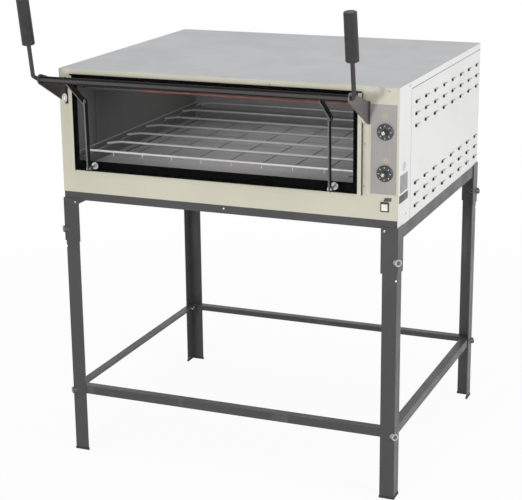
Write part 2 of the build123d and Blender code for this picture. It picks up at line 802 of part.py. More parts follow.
def make_rack():
    """Cross bars on two side bars. The front bar stays straight, on two uprights, and has short nibs."""
    left = chamber_left + rack_side_inset
    right = chamber_right - rack_side_inset
    bar_left, bar_right = left - rack_bar_overhang, right + rack_bar_overhang
    side_z = runner_z + rack_side_radius
    end_z = side_z + rack_side_radius + rack_bar_radius - rack_weld
    bar_z_mid = end_z + rack_bar_drop
    front, last = rack_bar_y(0), rack_bar_y(rack_bars)
    rack = bar_x(bar_left, bar_right, front, bar_z_mid, rack_bar_radius)
    for x in (left, right):
        rack += bar_y(front, last, x, side_z, rack_side_radius)
        rack += bar_z(side_z, bar_z_mid, x, front, rack_side_radius)
    for index in range(1, rack_bars + 1):
        rack += bent_bar(bar_left, bar_right, rack_bar_y(index), end_z, bar_z_mid)
    for index in range(rack_nibs):
        x = chamber_x + (index - (rack_nibs - 1) / 2) * rack_nib_pitch
        rack += bar_z(bar_z_mid - rack_bar_radius - rack_nib_length, bar_z_mid, x, front, rack_nib_radius)
    return rack


def make_top_element():
    return bar_x(chamber_left, chamber_right, front_y + element_set_back, element_z, element_radius)


def make_insulation():
    """Mineral wool between the chamber and the shell, as four slabs."""
    y0, y1 = front_y + rail_sheet + 2 * sheet + insulation_clearance, chamber_back_y + sheet
    z0, z1 = liner_bottom_z, cabinet_top_z - sheet
    x_left, x_right = chamber_left - sheet, chamber_right + sheet
    shell_left = -half_width + 2 * sheet + insulation_clearance
    shell_right = x_right + side_insulation
    top_z = chamber_top_z + sheet
    wool_left = block(shell_left, x_left, y0, y1, z0, top_z)
    wool_right = block(x_right, shell_right, y0, y1, z0, top_z)
    wool_right -= manifold_hole(x_right - over, shell_right + over)
    wool_top = block(shell_left, shell_right, y0, y1, top_z, z1)
    wool_back = block(shell_left, shell_right, y1, back_y - sheet, z0, z1)
    wool_back -= flue_space(flue_sheet, y1 - over, back_y)
    return group([wool_left, wool_right, wool_top, wool_back])


def flue_space(wall, y0, y1):
    half, rise = flue_width / 2 + wall, flue_height / 2 + wall
    return block(chamber_x - half, chamber_x + half, y0, y1, flue_z - rise, flue_z + rise)


def make_flue_duct():
    """A rectangular duct from the chamber's back wall to the outside."""
    wall_in = flue_space(flue_sheet, chamber_back_y + sheet, back_y - sheet)
    tail = flue_space(0, chamber_back_y + sheet, back_y + flue_reach)
    core = flue_space(-flue_sheet, chamber_back_y, back_y + flue_reach + over)
    return (wall_in + tail) - core


# Gas supply
def make_burners():
    burners = []
    y0, y1 = front_y + burner_front_gap, chamber_back_y - burner_back_gap
    for index in range(burner_count):
        x = burner_x(index)
        tube = bar_y(y0, y1, x, burner_z, burner_radius)
        tube -= bar_y(y0 - over, y1 - burner_wall, x, burner_z, burner_radius - burner_wall)
        burners.append(tube)
    return group(burners)


def make_burner_rests():
    """Two upright plates across the base, with a round seat for each burner."""
    rests = []
    for y in (front_y + rest_set_back, chamber_back_y - rest_set_back):
        rest = block(
            chamber_left + hearth_thickness, chamber_right - hearth_thickness, y, y + rest_sheet,
            liner_bottom_z, liner_bottom_z + rest_height,
        )
        for index in range(burner_count):
            rest -= bar_y(y - over, y + rest_sheet + over, burner_x(index), burner_z, burner_radius)
        rests.append(rest)
    return group(rests)


def make_gas_manifold():
    """A pipe along the front with a jet for each burner, fed from the back."""
    y = manifold_y
    pipe = bar_x(burner_x(0) - manifold_overhang, inlet_x, y, manifold_z, manifold_radius)
    pipe += Pos(inlet_x, y, manifold_z) * Sphere(manifold_radius)
    pipe += bar_y(y, back_y, inlet_x, manifold_z, manifold_radius)
    pipe += bar_y(back_y, back_y + inlet_reach, inlet_x, manifold_z, inlet_radius)
    for index in range(burner_count):
        x = burner_x(index)
        pipe += bar_z(manifold_z, burner_z, x, y, jet_radius)
        pipe += Pos(x, y, burner_z) * Sphere(jet_radius)
        pipe += bar_y(y, y + jet_length, x, burner_z, jet_radius)
    pipe += bar_z(manifold_z, lower_knob_z - valve_height / 2, knob_x, y, supply_radius)
    pipe -= bar_y(back_y - inlet_reach, back_y + inlet_reach + over, inlet_x, manifold_z, inlet_bore)
    return pipe


def make_gas_valves():
    """Two thermostatic valves behind the panel, joined by a short pipe."""
    valves = []
    y0 = front_y + sheet
    for z in (upper_knob_z, lower_knob_z):
        valve = block(
            knob_x - valve_width / 2, knob_x + valve_width / 2, y0, y0 + valve_depth,
            z - valve_height / 2, z + valve_height / 2,
        )
        valve = fillet(valve.edges().filter_by(Axis.Y), valve_edge)
        valve -= bar_y(y0 - over, y0 + valve_bore_depth, knob_x, z, spindle_radius + running_gap)
        valves.append(valve)
    y = y0 + valve_depth / 2
    z0, z1 = lower_knob_z + valve_height / 2, upper_knob_z - valve_height / 2
    valves.append(bar_z(z0, z1, knob_x, y, supply_radius))
    return group(valves)


# Controls
def make_control_label():
    x0, x1 = label_x - label_width / 2, label_x + label_width / 2
    label = block(x0, x1, front_y - label_sheet, front_y, label_bottom_z, label_top_z)
    for z in (upper_knob_z, lower_knob_z):
        label -= bar_y(
            front_y - label_sheet - over, front_y + over, knob_x, z, spindle_radius + spindle_clearance
        )
    return label


def make_knob(z):
    """A dial skirt under a tapered, fluted hub."""
    y_back = front_y - label_sheet - knob_lift
    skirt = bar_y(y_back - knob_skirt, y_back, knob_x, z, knob_radius)
    skirt = chamfer(skirt.faces().sort_by(Axis.Y)[0].edges(), knob_skirt_chamfer)
    hub_height = knob_height - knob_skirt
    hub_mid = Pos(knob_x, y_back - knob_skirt - hub_height / 2, z) * Rot(90, 0, 0)
    hub = hub_mid * Cone(knob_hub_radius, knob_hub_top_radius, hub_height)
    for index in range(knob_flutes):
        place = Rot(0, 0, 360 * index / knob_flutes) * Pos(knob_hub_radius + flute_set_out, 0, 0)
        flute = place * Cylinder(flute_radius, hub_height + over)
        hub -= hub_mid * flute
    knob = skirt + hub
    knob -= bar_y(y_back - knob_height - over, y_back + over, knob_x, z, spindle_radius)
    return knob


def make_spindle(z):
    """The valve's spindle, with the bright cap that holds the knob."""
    y_back = front_y - label_sheet - knob_lift
    y_cap = y_back - knob_height
    y_in = front_y + sheet + valve_bore_depth - spindle_end_gap
    spindle = bar_y(y_cap, y_in, knob_x, z, spindle_radius)
    cap = bar_y(y_cap - spindle_cap_height, y_cap, knob_x, z, spindle_cap_radius)
    cap = fillet(cap.faces().sort_by(Axis.Y)[0].edges(), spindle_cap_edge)
    return spindle + cap


def make_switch_bezel():
    half_x, half_z = switch_width / 2, switch_height / 2
    y0 = front_y - switch_bezel_height
    bezel = block(switch_x - half_x, switch_x + half_x, y0, front_y, switch_z - half_z, switch_z + half_z)
    bezel = chamfer(bezel.faces().sort_by(Axis.Y)[0].edges(), switch_bezel_height / 2)
    bezel += switch_cutout(front_y, front_y + switch_body_depth)
    hole_x, hole_z = half_x - switch_rim, half_z - switch_rim
    bezel -= block(
        switch_x - hole_x, switch_x + hole_x, y0 - over, front_y + 2 * rocker_depth,
        switch_z - hole_z, switch_z + hole_z,
    )
    return bezel


def make_switch_rocker():
    """A hollow-faced rocker, tilted to one side, that turns about its back edge."""
    reach = rocker_depth + switch_bezel_height + rocker_front
    half_x = switch_width / 2 - switch_rim - rocker_gap
    half_z = switch_height / 2 - switch_rim - rocker_gap - reach * sin(radians(rocker_tilt))
    pad = block(-half_x, half_x, -reach, 0, -half_z, half_z)
    dip_y = -reach - rocker_hollow_radius + rocker_hollow
    pad -= bar_x(-half_x - over, half_x + over, dip_y, 0, rocker_hollow_radius)
    return Pos(switch_x, front_y + rocker_depth, switch_z) * Rot(rocker_tilt, 0, 0) * pad


# Door
def make_guide(side):
    """An upright channel that holds one edge of the glass, with a flange on the panel."""
    outer = guide_left_x if side < 0 else guide_right_x
    inner = outer - side * guide_width
    y0 = front_y - guide_depth
    guide = block(outer, inner, y0, front_y, guide_bottom_z, guide_top_z)
    groove_y1 = glass_back_y + glass_play
    guide -= block(
        outer - side * guide_web, inner - side * over, y0 + guide_lip, groove_y1,
        glass_bottom_z - glass_play, guide_top_z + over,
    )
    ear_x, ear_y = outer + side * guide_ear, front_y - guide_ear_sheet
    guide += block(outer, ear_x, ear_y, front_y, guide_bottom_z, guide_top_z)
    return guide


def rivet(face_y, x, z):
    head = bar_y(face_y - rivet_height, face_y, x, z, rivet_radius)
    return fillet(head.faces().sort_by(Axis.Y)[0].edges(), rivet_edge)


def side_rivet(side, y, z):
    x = side * half_width
    head = bar_x(x, x + side * rivet_height, y, z, rivet_radius)
    return fillet(head.faces().sort_by(Axis.X)[-1 if side > 0 else 0].edges(), rivet_edge)


def make_rivets():
    """Flat rivets on the guides' flanges, at the panel's top edge and on the side strips."""
    rivets = []
    for x in (guide_left_x - rivet_inset, guide_right_x + rivet_inset):
        for rise in (upper_rivet_rise, lower_rivet_rise):
            rivets.append(rivet(front_y - guide_ear_sheet, x, glass_bottom_z + rise))
    for inset in (left_panel_rivet_inset, right_panel_rivet_inset):
        rivets.append(rivet(front_y, half_width - inset, cabinet_top_z - panel_rivet_drop))
    strip_back_y = front_y + strip_depth
    for side in (-1, 1):
        y, lower_y = strip_back_y - strip_screw_inset, strip_back_y - lower_strip_screw_inset
        rivets.append(side_rivet(side, y, cabinet_top_z - strip_screw_drop))
        rivets.append(side_rivet(side, lower_y, cabinet_floor_z + lower_strip_screw_rise))
    return group(rivets)


def make_door_glass():
    x0, x1 = chamber_x - glass_half, chamber_x + glass_half
    glass = block(x0, x1, glass_front_y, glass_back_y, glass_bottom_z, glass_top_z)
    for side in (-1, 1):
        glass -= stud_bore(side, glass_front_y, glass_back_y, stud_clearance)
    return glass


def make_glass_border():
    """The black fired-on border on the back of the glass."""
    x0, x1 = chamber_x - glass_half, chamber_x + glass_half
    y0, y1 = glass_back_y, glass_back_y + border_thickness
    border = block(x0, x1, y0, y1, glass_bottom_z, glass_top_z)
    border -= block(
        x0 + border_side, x1 - border_side, y0 - over, y1 + over, glass_bottom_z + border_bottom,
        glass_top_z - border_top,
    )
    for side in (-1, 1):
        border -= stud_bore(side, y0, y1, stud_clearance)
    return border


def link_x(side):
    """The middle of the link bar; the fork's stud is behind it."""
    return chamber_x + side * arm_offset


def stud_bore(side, y0, y1, clearance):
    radius = fork_stud_radius + clearance
    return bar_y(y0 - over, y1 + over, link_x(side), link_foot_z, radius)


def make_door_forks():
    """A stud through the glass at each end, with a fork and a pin for the link."""
    forks = []
    z0, z1 = link_foot_z - fork_half_height, link_foot_z + fork_half_height
    slot_half = strap_sheet / 2 + strap_gap
    seat_y = link_foot_y + strap_width / 2 + strap_gap
    stud_end_y = glass_back_y + border_thickness + stud_back_height
    for side in (-1, 1):
        x = link_x(side)
        outer = slot_half + fork_ear
        fork = block(x - outer, x + outer, link_foot_y, seat_y + fork_back, z0, z1)
        fork += bar_x(x - outer, x + outer, link_foot_y, link_foot_z, fork_half_height)
        slot_y = link_foot_y - strap_width
        fork -= block(x - slot_half, x + slot_half, slot_y, seat_y, z0 - over, z1 + over)
        fork += bar_y(seat_y, stud_end_y, x, link_foot_z, fork_stud_radius)
        fork += bar_x(x - outer, x + outer, link_foot_y, link_foot_z, fork_pin_radius)
        for end in (-1, 1):
            x0, x1 = x + end * outer, x + end * (outer + fork_pin_head)
            fork += bar_x(x0, x1, link_foot_y, link_foot_z, fork_pin_head_radius)
        forks.append(fork)
    return group(forks)


def make_fork_nuts():
    """A nut on a wide washer in front of the glass, and a round nut behind it."""
    nuts = []
    washer_y = glass_front_y - washer_height
    nut_y = washer_y - stud_nut_height
    back_y = glass_back_y + border_thickness
    end_y = back_y + stud_back_height
    for side in (-1, 1):
        x = link_x(side)
        washer = bar_y(washer_y, glass_front_y, x, link_foot_z, washer_radius)
        washer = chamfer(washer.faces().sort_by(Axis.Y)[0].edges(), washer_edge)
        nut_plane = Plane(origin=(x, washer_y, link_foot_z), z_dir=(0, -1, 0))
        front = washer + extrude(nut_plane * RegularPolygon(stud_nut_radius, 6), amount=stud_nut_height)
        back = bar_y(back_y, end_y, x, link_foot_z, stud_back_radius)
        nuts.append(front - stud_bore(side, nut_y, glass_front_y, stud_fit))
        nuts.append(back - stud_bore(side, back_y, end_y, stud_fit))
    return group(nuts)


def make_link(side):
    """The flat bar from the door's fork up to the crank arm, which is on its outer face."""
    x0, x1 = link_x(side) - strap_sheet / 2, link_x(side) + strap_sheet / 2
    foot, top = (link_foot_y, link_foot_z), (arm_tip_y, arm_tip_z)
    bar = strap(x0, x1, foot, top, strap_width)
    bar -= bar_x(x0 - over, x1 + over, *foot, fork_pin_radius + running_gap)
    inner = link_x(side) - side * strap_sheet / 2
    return bar + bar_x(inner, inner - side * pin_head_height, *top, pin_head_radius)


# Lifting gear
def make_lever_tube():
    half = bracket_reach - tube_side_gap
    tube = bar_x(gear_x - half, gear_x + half, axis_y, axis_z, tube_radius)
    for side in (-1, 1):
        end, inner = gear_x + side * (half + over), gear_x + side * (half - lever_inside)
        tube -= bar_x(inner, end, axis_y, axis_z, lever_radius + lever_fit)
    return tube


def make_crank_arms():
    """Flat bars welded to the tube, with a rivet head at the open pivot."""
    arms = []
    for side in (-1, 1):
        inner = link_x(side) + side * (strap_sheet / 2 + strap_gap)
        outer = inner + side * strap_sheet
        x0, x1 = sorted((inner, outer))
        arm = strap(x0, x1, (axis_y, axis_z), (arm_tip_y, arm_tip_z), strap_width)
        arm -= bar_x(x0 - over, x1 + over, axis_y, axis_z, tube_radius)
        arm = arm.solids().sort_by(SortBy.VOLUME)[-1]
        arm += bar_x(outer, outer + side * pin_head_height, arm_tip_y, arm_tip_z, pin_head_radius)
        arms.append(arm)
    return group(arms)


def lever_points(side):
    """The bent lever's corner points, from inside the tube to the grip's end."""
    wall = gear_x + side * (bracket_reach + bracket_sheet)
    inner = gear_x + side * (bracket_reach - lever_inside + lever_end_gap)
    out, ahead, up = lever_jog
    start = Vector(inner, axis_y, axis_z)
    first = Vector(wall + side * lever_out, axis_y, axis_z)
    second = first + Vector(side * out, -ahead, up)
    lean = radians(lever_lean)
    last = second + Vector(0, -sin(lean), cos(lean)) * lever_rise
    return start, first, second, last


def make_lever_rods():
    rods = []
    for side in (-1, 1):
        path = FilletPolyline(*lever_points(side), radius=[lever_bend_radius, lever_bend_radius])
        section = Plane(origin=path @ 0, z_dir=path % 0) * Circle(lever_radius)
        rods.append(sweep(section, path=path))
    return group(rods)


def make_grip(side):
    """A tapered handle that covers the lever's tip."""
    start, first, second, last = lever_points(side)
    along = (last - second).normalized()
    base = last + along * (grip_cover - grip_length)
    place = Plane(origin=base, x_dir=(1, 0, 0), z_dir=along)
    middle = Pos(0, 0, grip_length / 2)
    grip = middle * Cone(grip_bottom_radius, grip_top_radius, grip_length)
    grip = fillet(grip.faces().sort_by(Axis.Z)[-1].edges(), grip_edge)
    grip = fillet(grip.faces().sort_by(Axis.Z)[0].edges(), grip_edge)
    bore_length = grip_length - grip_cover
    grip -= Pos(0, 0, (bore_length - over) / 2) * Cylinder(lever_radius + grip_fit, bore_length + over)
    return place * grip


def bracket_plate_x(side):
    """The inner and the outer face of a bracket's plate."""
    inner = gear_x + side * bracket_reach
    return inner, inner + side * bracket_sheet


def make_tube_brackets():
    """Plates that carry the tube, each with a narrow outer flange on its guide's flange."""
    brackets = []
    rear = Line((bracket_seat_y, bracket_bottom_z), (bracket_seat_y, bracket_top_z))
    nose = Pos(axis_y, axis_z) * Circle(bracket_nose_radius)
    flange_y = bracket_seat_y - bracket_flange_sheet
    for side in (-1, 1):
        inner, outer = bracket_plate_x(side)
        plate = side_hull(min(inner, outer), max(inner, outer), [nose.edge(), rear])
        plate -= bar_x(inner - side * over, outer + side * over, axis_y, axis_z, lever_radius + running_gap)
        edge_x = outer + side * bracket_flange
        flange = block(outer, edge_x, flange_y, bracket_seat_y, bracket_bottom_z, bracket_top_z)
        brackets.append(plate + flange)
    return group(brackets)


def make_bracket_bolts():
    """A wide washer and a round head on the inner face of each plate."""
    bolts = []
    y, z = front_y - clamp_reach, bracket_bottom_z + clamp_rise
    for side in (-1, 1):
        inner = bracket_plate_x(side)[0]
        washer_x = inner - side * clamp_washer_height
        head_x = washer_x - side * clamp_head_height
        washer = bar_x(inner, washer_x, y, z, clamp_washer_radius)
        free_face = washer.faces().sort_by(Axis.X)[0 if side > 0 else -1]
        washer = chamfer(free_face.edges(), clamp_washer_edge)
        head = bar_x(washer_x, head_x, y, z, clamp_head_radius)
        free_face = head.faces().sort_by(Axis.X)[0 if side > 0 else -1]
        bolts.append(washer + fillet(free_face.edges(), clamp_head_edge))
    return group(bolts)


def build_nodes():
    nodes = {}
    for front in (True, False):
        ends = [(side, end) for side, end in corners if (end < 0) == front]
        name = "leg_sleeves_front" if front else "leg_sleeves_rear"
        nodes[name] = group([make_sleeve(side, end) for side, end in ends])
    for (side, end), name in zip(corners, corner_names):
        nodes["leg_" + name] = make_leg(side, end)
    nodes["foot_caps"] = make_foot_caps()
    nodes["front_rail"] = make_front_rail()
    nodes["rear_rail"] = make_rear_rail()
    nodes["side_rails"] = group([make_side_rail(-1), make_side_rail(1)])
    nodes["lower_rails_across"] = make_lower_rails_across()
    nodes["lower_rails_along"] = make_lower_rails_along()
    nodes["leg_bolts"] = make_leg_bolts()
    nodes["leg_nuts"] = make_leg_nuts()
    nodes["stand_screws"] = make_stand_screws()
    nodes["base_pan"] = make_base_pan()
    nodes["front_panel"] = make_front_panel()
    nodes["side_strip_left"] = make_side_strip(-1)
    nodes["side_strip_right"] = make_side_strip(1)
    nodes["louvre_cover_left"] = make_louvre_cover(-1)
    nodes["louvre_cover_right"] = make_louvre_cover(1)
    nodes["top_cover"] = make_top_cover()
    nodes["back_panel"] = make_back_panel()
    nodes["liner_sides"] = make_liner_sides()
    nodes["liner_back"] = make_liner_back()
    nodes["liner_top"] = make_liner_top()
    nodes["hearth_plate"] = make_hearth_plate()
    nodes["hearth_tiles"] = make_hearth_tiles()
    nodes["rack_runners"] = make_rack_runners()
    nodes["rack"] = make_rack()
    nodes["top_element"] = make_top_element()
    nodes["insulation"] = make_insulation()
    nodes["flue_duct"] = make_flue_duct()
    nodes["burners"] = make_burners()
    nodes["burner_rests"] = make_burner_rests()
    nodes["gas_manifold"] = make_gas_manifold()
    nodes["gas_valves"] = make_gas_valves()
    nodes["control_label"] = make_control_label()
    nodes["knob_upper"] = make_knob(upper_knob_z)
    nodes["knob_lower"] = make_knob(lower_knob_z)
    nodes["spindle_upper"] = make_spindle(upper_knob_z)
    nodes["spindle_lower"] = make_spindle(lower_knob_z)
    nodes["switch_bezel"] = make_switch_bezel()
    nodes["switch_rocker"] = make_switch_rocker()
    nodes["guide_left"] = make_guide(-1)
    nodes["guide_right"] = make_guide(1)
    nodes["panel_rivets"] = make_rivets()
    nodes["door_glass"] = make_door_glass()
    nodes["glass_border"] = make_glass_border()
    nodes["door_forks"] = make_door_forks()
    nodes["fork_nuts"] = make_fork_nuts()
    nodes["link_left"] = make_link(-1)
    nodes["link_right"] = make_link(1)
    nodes["lever_tube"] = make_lever_tube()
    nodes["crank_arms"] = make_crank_arms()
    nodes["lever_rods"] = make_lever_rods()
    nodes["grip_left"] = make_grip(-1)
    nodes["grip_right"] = make_grip(1)
    nodes["tube_brackets"] = make_tube_brackets()
    nodes["bracket_bolts"] = make_bracket_bolts()
    return nodes


os.makedirs("parts", exist_ok=True)
for node_name, shape in build_nodes().items():
    export_step(shape, f"parts/{node_name}.step")
print("door travel", round(door_travel, 3), "link swing", round(link_swing, 4))
print("arm tip", round(arm_tip_y, 3), round(arm_tip_z, 3), "link foot z", round(link_foot_z, 3))
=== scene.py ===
import json
import math

import bmesh
import bpy
from mathutils import Euler, Matrix, Vector

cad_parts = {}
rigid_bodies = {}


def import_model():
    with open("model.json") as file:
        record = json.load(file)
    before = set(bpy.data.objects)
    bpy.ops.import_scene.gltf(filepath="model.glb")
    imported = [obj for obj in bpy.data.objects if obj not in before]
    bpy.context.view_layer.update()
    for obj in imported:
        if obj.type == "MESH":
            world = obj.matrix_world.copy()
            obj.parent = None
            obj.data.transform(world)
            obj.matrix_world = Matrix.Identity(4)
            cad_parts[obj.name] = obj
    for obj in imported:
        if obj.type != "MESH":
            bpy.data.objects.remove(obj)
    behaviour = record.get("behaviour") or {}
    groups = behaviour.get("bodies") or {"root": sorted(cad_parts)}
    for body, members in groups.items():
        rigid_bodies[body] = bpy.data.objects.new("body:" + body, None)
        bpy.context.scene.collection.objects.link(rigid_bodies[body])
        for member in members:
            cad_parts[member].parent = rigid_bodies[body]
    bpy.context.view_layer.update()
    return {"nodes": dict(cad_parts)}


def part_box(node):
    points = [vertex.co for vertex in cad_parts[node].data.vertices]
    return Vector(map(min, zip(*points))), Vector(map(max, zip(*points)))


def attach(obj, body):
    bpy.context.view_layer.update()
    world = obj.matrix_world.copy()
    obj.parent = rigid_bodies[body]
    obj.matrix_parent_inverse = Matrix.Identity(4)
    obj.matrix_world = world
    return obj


for spare in list(bpy.data.objects):
    bpy.data.objects.remove(spare)

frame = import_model()
nodes = frame["nodes"]
print("stage: frame loaded,", len(nodes), "nodes")


# A shader socket that can be written in sums, so that a mask reads as plain maths
class Wire:
    def __init__(self, finish, socket):
        self.finish = finish
        self.socket = socket

    def __add__(self, other):
        return self.finish.maths("ADD", self, other)

    def __radd__(self, other):
        return self.finish.maths("ADD", other, self)

    def __sub__(self, other):
        return self.finish.maths("SUBTRACT", self, other)

    def __rsub__(self, other):
        return self.finish.maths("SUBTRACT", other, self)

    def __mul__(self, other):
        return self.finish.maths("MULTIPLY", self, other)

    def __rmul__(self, other):
        return self.finish.maths("MULTIPLY", other, self)

    def __gt__(self, other):
        return self.finish.maths("GREATER_THAN", self, other)

    def __lt__(self, other):
        return self.finish.maths("LESS_THAN", self, other)

    def mixed(self, other, share):  # this pattern's share, and the rest from the other one
        return self * share + other * (1 - share)

    def lifted(self, share):  # squeezed upward, to run from 1 - share to 1
        return self * share + (1 - share)


# A node tree with one method for every node; materials and the world are both made with it
class NodeTree:
    def __init__(self, owner):
        owner.use_nodes = True
        self.tree = owner.node_tree
        self.tree.nodes.clear()

    def node(self, kind, settings, sockets, out=0):
        made = self.tree.nodes.new(kind)
        for key, value in settings.items():
            setattr(made, key, value)
        for key, value in sockets.items():
            if isinstance(value, Wire):
                self.tree.links.new(value.socket, made.inputs[key])
            else:
                made.inputs[key].default_value = value
        return Wire(self, made.outputs[out]) if made.outputs else made

    def maths(self, operation, *values, clamp=False):
        settings = {"operation": operation, "use_clamp": clamp}
        return self.node("ShaderNodeMath", settings, dict(enumerate(values)))

    def seenDirectly(self):  # 1 for the camera, for mirrors and for glass
        light = self.node("ShaderNodeLightPath", {}, {})
        rays = light.socket.node.outputs
        camera, mirror, glass = (Wire(self, rays[name]) for name in (
            "Is Camera Ray", "Is Glossy Ray", "Is Transmission Ray"))
        return self.maths("ADD", camera + mirror, glass, clamp=True)


noiseSpan = (0.3, 0.7)  # nearly all values of a noise lie in here


class Finish(NodeTree):
    def __init__(self, name, metallic=0.0, specular=0.5, coat=0.0):
        self.material = bpy.data.materials.new(name)
        super().__init__(self.material)
        self.shader = self.node("ShaderNodeBsdfPrincipled", {}, {
            "Metallic": metallic, "Specular IOR Level": specular, "Coat Weight": coat, "Coat Roughness": 0.2,
        })
        self.surface = self.node("ShaderNodeOutputMaterial", {}, {"Surface": self.shader})
        self.place = self.node("ShaderNodeTexCoord", {}, {}, "Object")

    def feed(self, name, value):
        target = self.shader.socket.node.inputs[name]
        if isinstance(value, Wire):
            self.tree.links.new(value.socket, target)
        else:
            target.default_value = value

    def repaint(self, mask, colour):  # lays a colour over the base colour wherever the mask says
        base = self.shader.socket.node.inputs["Base Color"].links[0].from_socket
        self.feed("Base Color", self.blend(mask, Wire(self, base), colour))

    def tint(self, pattern, look):  # from the look's light colour to its dark one
        return self.blend(pattern, shade(*look["light"]), shade(*look["dark"]))

    def roughen(self, pattern, look):  # a gloss that wanders about the look's roughness
        self.feed("Roughness", pattern * look["glossSpread"] + (look["rough"] - look["glossSpread"] / 2))

    def facing(self, letter):  # how far the surface faces along one axis, -1 to 1
        normal = self.node("ShaderNodeNewGeometry", {}, {}, "Normal")
        return self.node("ShaderNodeSeparateXYZ", {}, {"Vector": normal}, letter)

    def axis(self, letter):  # place along one axis, in metres
        return self.node("ShaderNodeSeparateXYZ", {}, {"Vector": self.place}, letter)

    def spots(self, scale, detail=4.0, stretch=(1, 1, 1)):  # noise, spread to reach from 0 to 1
        where = self.node("ShaderNodeMapping", {}, {"Vector": self.place, "Scale": stretch})
        sockets = {"Vector": where, "Scale": scale, "Detail": detail}
        noise = self.node("ShaderNodeTexNoise", {}, sockets, "Fac")
        return self.between(noise, *noiseSpan, 0.0, 1.0)

    def between(self, value, low, high, first, last):  # eases from first to last between low and high
        return self.node("ShaderNodeMapRange", {"interpolation_type": "SMOOTHSTEP"}, {
            "Value": value, "From Min": low, "From Max": high, "To Min": first, "To Max": last,
        })

    def blend(self, mask, first, second):
        return self.node("ShaderNodeMix", {"data_type": "RGBA"}, {0: mask, 6: first, 7: second}, 2)

    def bump(self, height, strength, distance, under=None):
        sockets = {"Height": height, "Strength": strength, "Distance": distance}
        if under:
            sockets["Normal"] = under
        return self.node("ShaderNodeBump", {}, sockets)

    def ring(self, x, z):  # distance from an axis that runs from front to back
        across, up = self.axis("X") - x, self.axis("Z") - z
        return self.maths("SQRT", across * across + up * up)


def shade(red, green, blue):  # 0 to 255, as on a screen
    values = [channel / 255 for channel in (red, green, blue)]
    return [v / 12.92 if v <= 0.04045 else ((v + 0.055) / 1.055) ** 2.4 for v in values] + [1.0]


# What the looks below share. A noise is written as scale, detail and stretch, a bump as strength
# and distance, and a range as low, high, first and last
powderCoat = {
    "specular": 0.5, "clouds": (3, 3), "flecks": (420, 2), "fleckShare": 0.35,
    "scuffs": (16, 8, (1, 1, 0.15)), "scuffRange": (0.86, 1.0, 0.0, 0.6), "gloss": (9, 5),
    "glossSpread": 0.12, "peel": (900, 2), "peelBump": (0.18, 0.0004), "waves": (22, 2),
    "waveBump": (0.10, 0.0012),
}
drawnGrain = {
    "metallic": 1.0, "grain": 60, "grainDetail": 3, "along": (0.04, 1, 1), "smears": (6, 4),
    "grainShare": 0.6, "glossSpread": 0.14, "grainBump": (0.12, 0.0003),
}
mouldedSkin = {
    "specular": 0.5, "clouds": (30, 4), "gloss": (60, 4), "glossSpread": 0.12, "texture": (1500, 2),
    "textureBump": (0.25, 0.0002),
}


# Powder coat: cloudy tint, fine flecks, orange peel and an uneven gloss
def powderPaint(name, look):
    look = {**powderCoat, **look}
    paint = Finish(name, specular=look["specular"])
    base = paint.tint(paint.spots(*look["clouds"]), look)
    base = paint.blend(paint.spots(*look["flecks"]) * look["fleckShare"], base, shade(*look["fleck"]))
    if "scuff" in look:  # rubbed marks, long along the bars
        rubbedAndLit = paint.between(paint.spots(*look["scuffs"]), *look["scuffRange"])
        base = paint.blend(rubbedAndLit, base, shade(*look["scuff"]))
    paint.feed("Base Color", base)
    paint.roughen(paint.spots(*look["gloss"]), look)
    peel = paint.bump(paint.spots(*look["peel"]), *look["peelBump"])
    paint.feed("Normal", paint.bump(paint.spots(*look["waves"]), *look["waveBump"], peel))
    return paint


# Steel as rolled, drawn or plated: grain along one axis and faint smears
def drawnSteel(name, look):
    look = {**drawnGrain, **look}
    steel = Finish(name, metallic=look["metallic"])
    grain = steel.spots(look["grain"], look["grainDetail"], look["along"])
    smear = steel.spots(*look["smears"])
    steel.feed("Base Color", steel.tint(grain.mixed(smear, look["grainShare"]), look))
    steel.roughen(grain.mixed(smear, 0.5), look)
    steel.feed("Normal", steel.bump(grain, *look["grainBump"]))
    return steel


def mouldedPlastic(name, look):
    look = {**mouldedSkin, **look}
    plastic = Finish(name, specular=look["specular"])
    plastic.feed("Base Color", plastic.tint(plastic.spots(*look["clouds"]), look))
    plastic.roughen(plastic.spots(*look["gloss"]), look)
    plastic.feed("Normal", plastic.bump(plastic.spots(*look["texture"]), *look["textureBump"]))
    return plastic


paints = {
    "frontPaint": {
        "light": (202, 199, 183), "dark": (196, 193, 176), "fleck": (188, 184, 166), "rough": 0.45,
    },
    "rivetPaint": {
        "light": (172, 169, 154), "dark": (156, 153, 140), "fleck": (140, 138, 126), "rough": 0.45,
    },
    "standPaint": {
        "light": (74, 74, 75), "dark": (68, 68, 69), "fleck": (84, 84, 85), "rough": 0.36,
        "scuff": (92, 91, 90), "specular": 0.25,
    },
}
steels = {
    "bareSteel": {"light": (176, 177, 180), "dark": (163, 164, 167), "rough": 0.37},
    "zincPlate": {
        "light": (206, 208, 212), "dark": (168, 170, 176), "rough": 0.27, "grain": 80, "along": (1, 1, 1),
    },
    "clampZinc": {
        "light": (246, 247, 248), "dark": (222, 223, 226), "rough": 0.35, "grain": 80, "along": (1, 1, 1),
        "metallic": 0.2,
    },
    "burnerSteel": {"light": (150, 146, 140), "dark": (104, 98, 92), "rough": 0.43, "along": (1, 0.05, 1)},
    "valveBrass": {"light": (196, 160, 92), "dark": (160, 124, 64), "rough": 0.35, "along": (1, 1, 1)},
    "pipeSteel": {"light": (128, 128, 130), "dark": (96, 96, 98), "rough": 0.49},
}
